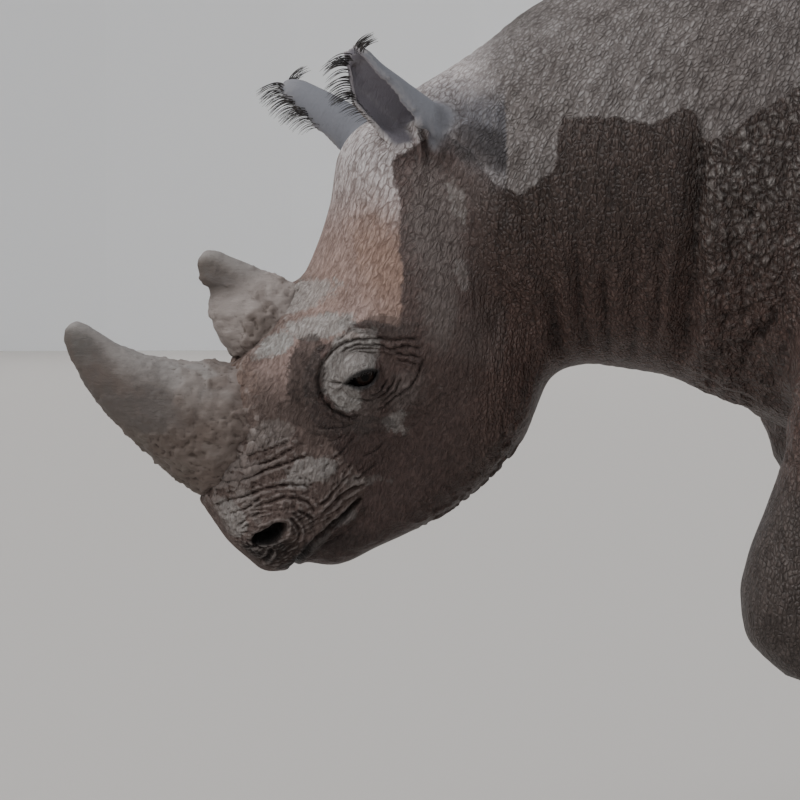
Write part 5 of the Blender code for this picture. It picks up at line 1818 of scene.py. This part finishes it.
points, normals, places = read_hide()
ear_hairs = []
for side, start in FRINGE_FROM.items():
    edge, share = ear_edge(points, normals, "ear_" + side, 1)
    roots = evenly(points, edge[share[edge] > start], FRINGE_SPACING[side])
    stray = np.stack([noise(points[roots], 6 * MM, seed) for seed in (301, 302, 303)], axis=1)
    aims = ahead + 0.35 * up + 0.2 * normals[roots] + 0.16 * stray
    leans = np.tile(0.2 * ahead - up, (len(roots), 1))
    reach = EAR_HAIR * (0.45 + 0.55 * step_up(share[roots], start - 0.1, start + 0.2))
    flat = unrolled(points[roots], (0, 0, 1), ahead)
    fringe = grow_hairs(
        f"ear_fringe_{side}", points[roots], aims, leans, reach, flat,
        Thickness=0.024, Bend=0.78, Unevenness=0.25,
    )
    edge, _ = ear_edge(points, normals, "ear_" + side, -1)
    roots = evenly(points, edge[share[edge] > TUFT_FROM], TUFT_SPACING)
    stray = np.stack([noise(points[roots], 4 * MM, seed) for seed in (304, 305, 306)], axis=1)
    aims = up - 0.1 * ahead + 0.2 * stray
    leans = np.tile(-ahead - 0.2 * up, (len(roots), 1))
    flat = unrolled(points[roots], (0, 0, 1), ahead)
    tuft = grow_hairs(
        f"ear_tuft_{side}", points[roots], aims, leans, np.full(len(roots), 0.8 * EAR_HAIR), flat,
        Thickness=0.030, Bend=0.85, Unevenness=0.3,
    )
    ear_hairs += [fringe, tuft]

# %% [markdown]
# Lashes stand along the upper rim of the slit, on the same curve that cut it, and fan out towards its
# corners. The tail ends in bristles, whose roots are found on the hide by height.

# %% Grow the lashes and the tail's tuft
LASH, TAIL_HAIR = 12 * MM, 85 * MM
LASHES, TAIL_SPACING = 34, 4.5 * MM
TAIL_FROM, TAIL_HALF_WIDTH = 1.35, 0.06  # along the animal, and to each side
TUFT_END, TUFT_START = 0.05, 0.26  # over the tail's tip
lashes = {}
for side, hand in (("left", -1), ("right", 1)):
    along = np.linspace(-0.93, 0.85, LASHES) * SLIT_HALF_LENGTH
    across = SLIT_RISE * (1 - np.abs(along / SLIT_HALF_LENGTH) ** 2.6) + 0.4 * MM
    c, s = math.cos(SLIT_SLANT), math.sin(SLIT_SLANT)
    flat = np.stack([-along * c - across * s, -along * s + across * c], axis=1) + np.array(SLIT_CENTRE)
    radius = np.hypot(flat[:, 0], flat[:, 1])
    out = (EYE_RADIUS + LID_THICKNESS) * np.sqrt(1 - (radius / LID_REACH) ** 2)
    roots = between_eyes + np.column_stack([flat, hand * (half_between + out)]) @ to_head.T
    aims = hand * sideways + 0.35 * ahead - 0.75 * up
    fan = (along / SLIT_HALF_LENGTH)[:, None] * -0.55 * ahead
    leans = np.tile(ahead - 0.4 * up, (LASHES, 1))
    reach = LASH * (0.75 + 0.25 * np.cos(np.arange(LASHES) * 2.4))
    flat = unrolled(roots, ahead, up)
    lashes[side] = grow_hairs(
        f"lashes_{side}", roots, aims + fan, leans, reach, flat, Thickness=0.045, Bend=0.25, Unevenness=0.4
    )

tail_low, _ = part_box("tail")
on_tuft = (points[:, 0] > max(tail_low.x, TAIL_FROM)) & (np.abs(points[:, 1]) < TAIL_HALF_WIDTH)
on_tuft &= (points[:, 2] > tail_low.z + TUFT_END) & (points[:, 2] < tail_low.z + TUFT_START)
candidates = np.nonzero(on_tuft)[0]
roots = evenly(points, candidates[np.argsort(points[candidates, 2])], TAIL_SPACING)
outward = np.sign(points[roots, 1])[:, None] * np.array((0, 0.22, 0))
aims = outward - up + 0.12 * normals[roots]
leans = outward + 0.1 * ahead
reach = np.minimum(TAIL_HAIR, points[roots, 2] - tail_low.z + 8 * MM)
flat = unrolled(points[roots], (0, 0, 1), (0, 1, 0))
tail_hairs = grow_hairs(
    "tail_tuft", points[roots], aims, leans, reach, flat, Thickness=0.012, Bend=0.12, Unevenness=0.3
)

# %% [markdown]
# ## Attach the pieces
# Each piece rides on the animal's one body, and the imported solids that it stands for are hidden.

hide_nodes = [node for node in flesh_nodes if not node.startswith("eye_")]
handed = [(hide, hide_nodes, "hide")]
handed += [(horn_front, ["horn_front"], "horn"), (horn_rear, ["horn_rear"], "horn")]
handed += [(eyeballs[side], ["eye_" + side], "eye") for side in eyeballs]
handed += [(nail, nodes, "nail") for nail, nodes in nails.values()]
handed += [(piece, [], "hide") for piece in (*ear_hairs, *lashes.values(), tail_hairs)]
for piece, nodes, finish in handed:
    piece.data.polygons.foreach_set("use_smooth", [True] * len(piece.data.polygons))
    piece.data.update()
    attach(piece, "root")
    if nodes:
        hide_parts(*nodes)
print(len(handed), "pieces,", sum(count_triangles(piece.data) for piece, _, _ in handed), "triangles")

# %% Measure both boxes
model_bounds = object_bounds()
corners = {"cad": cad_bounds, "model": model_bounds}
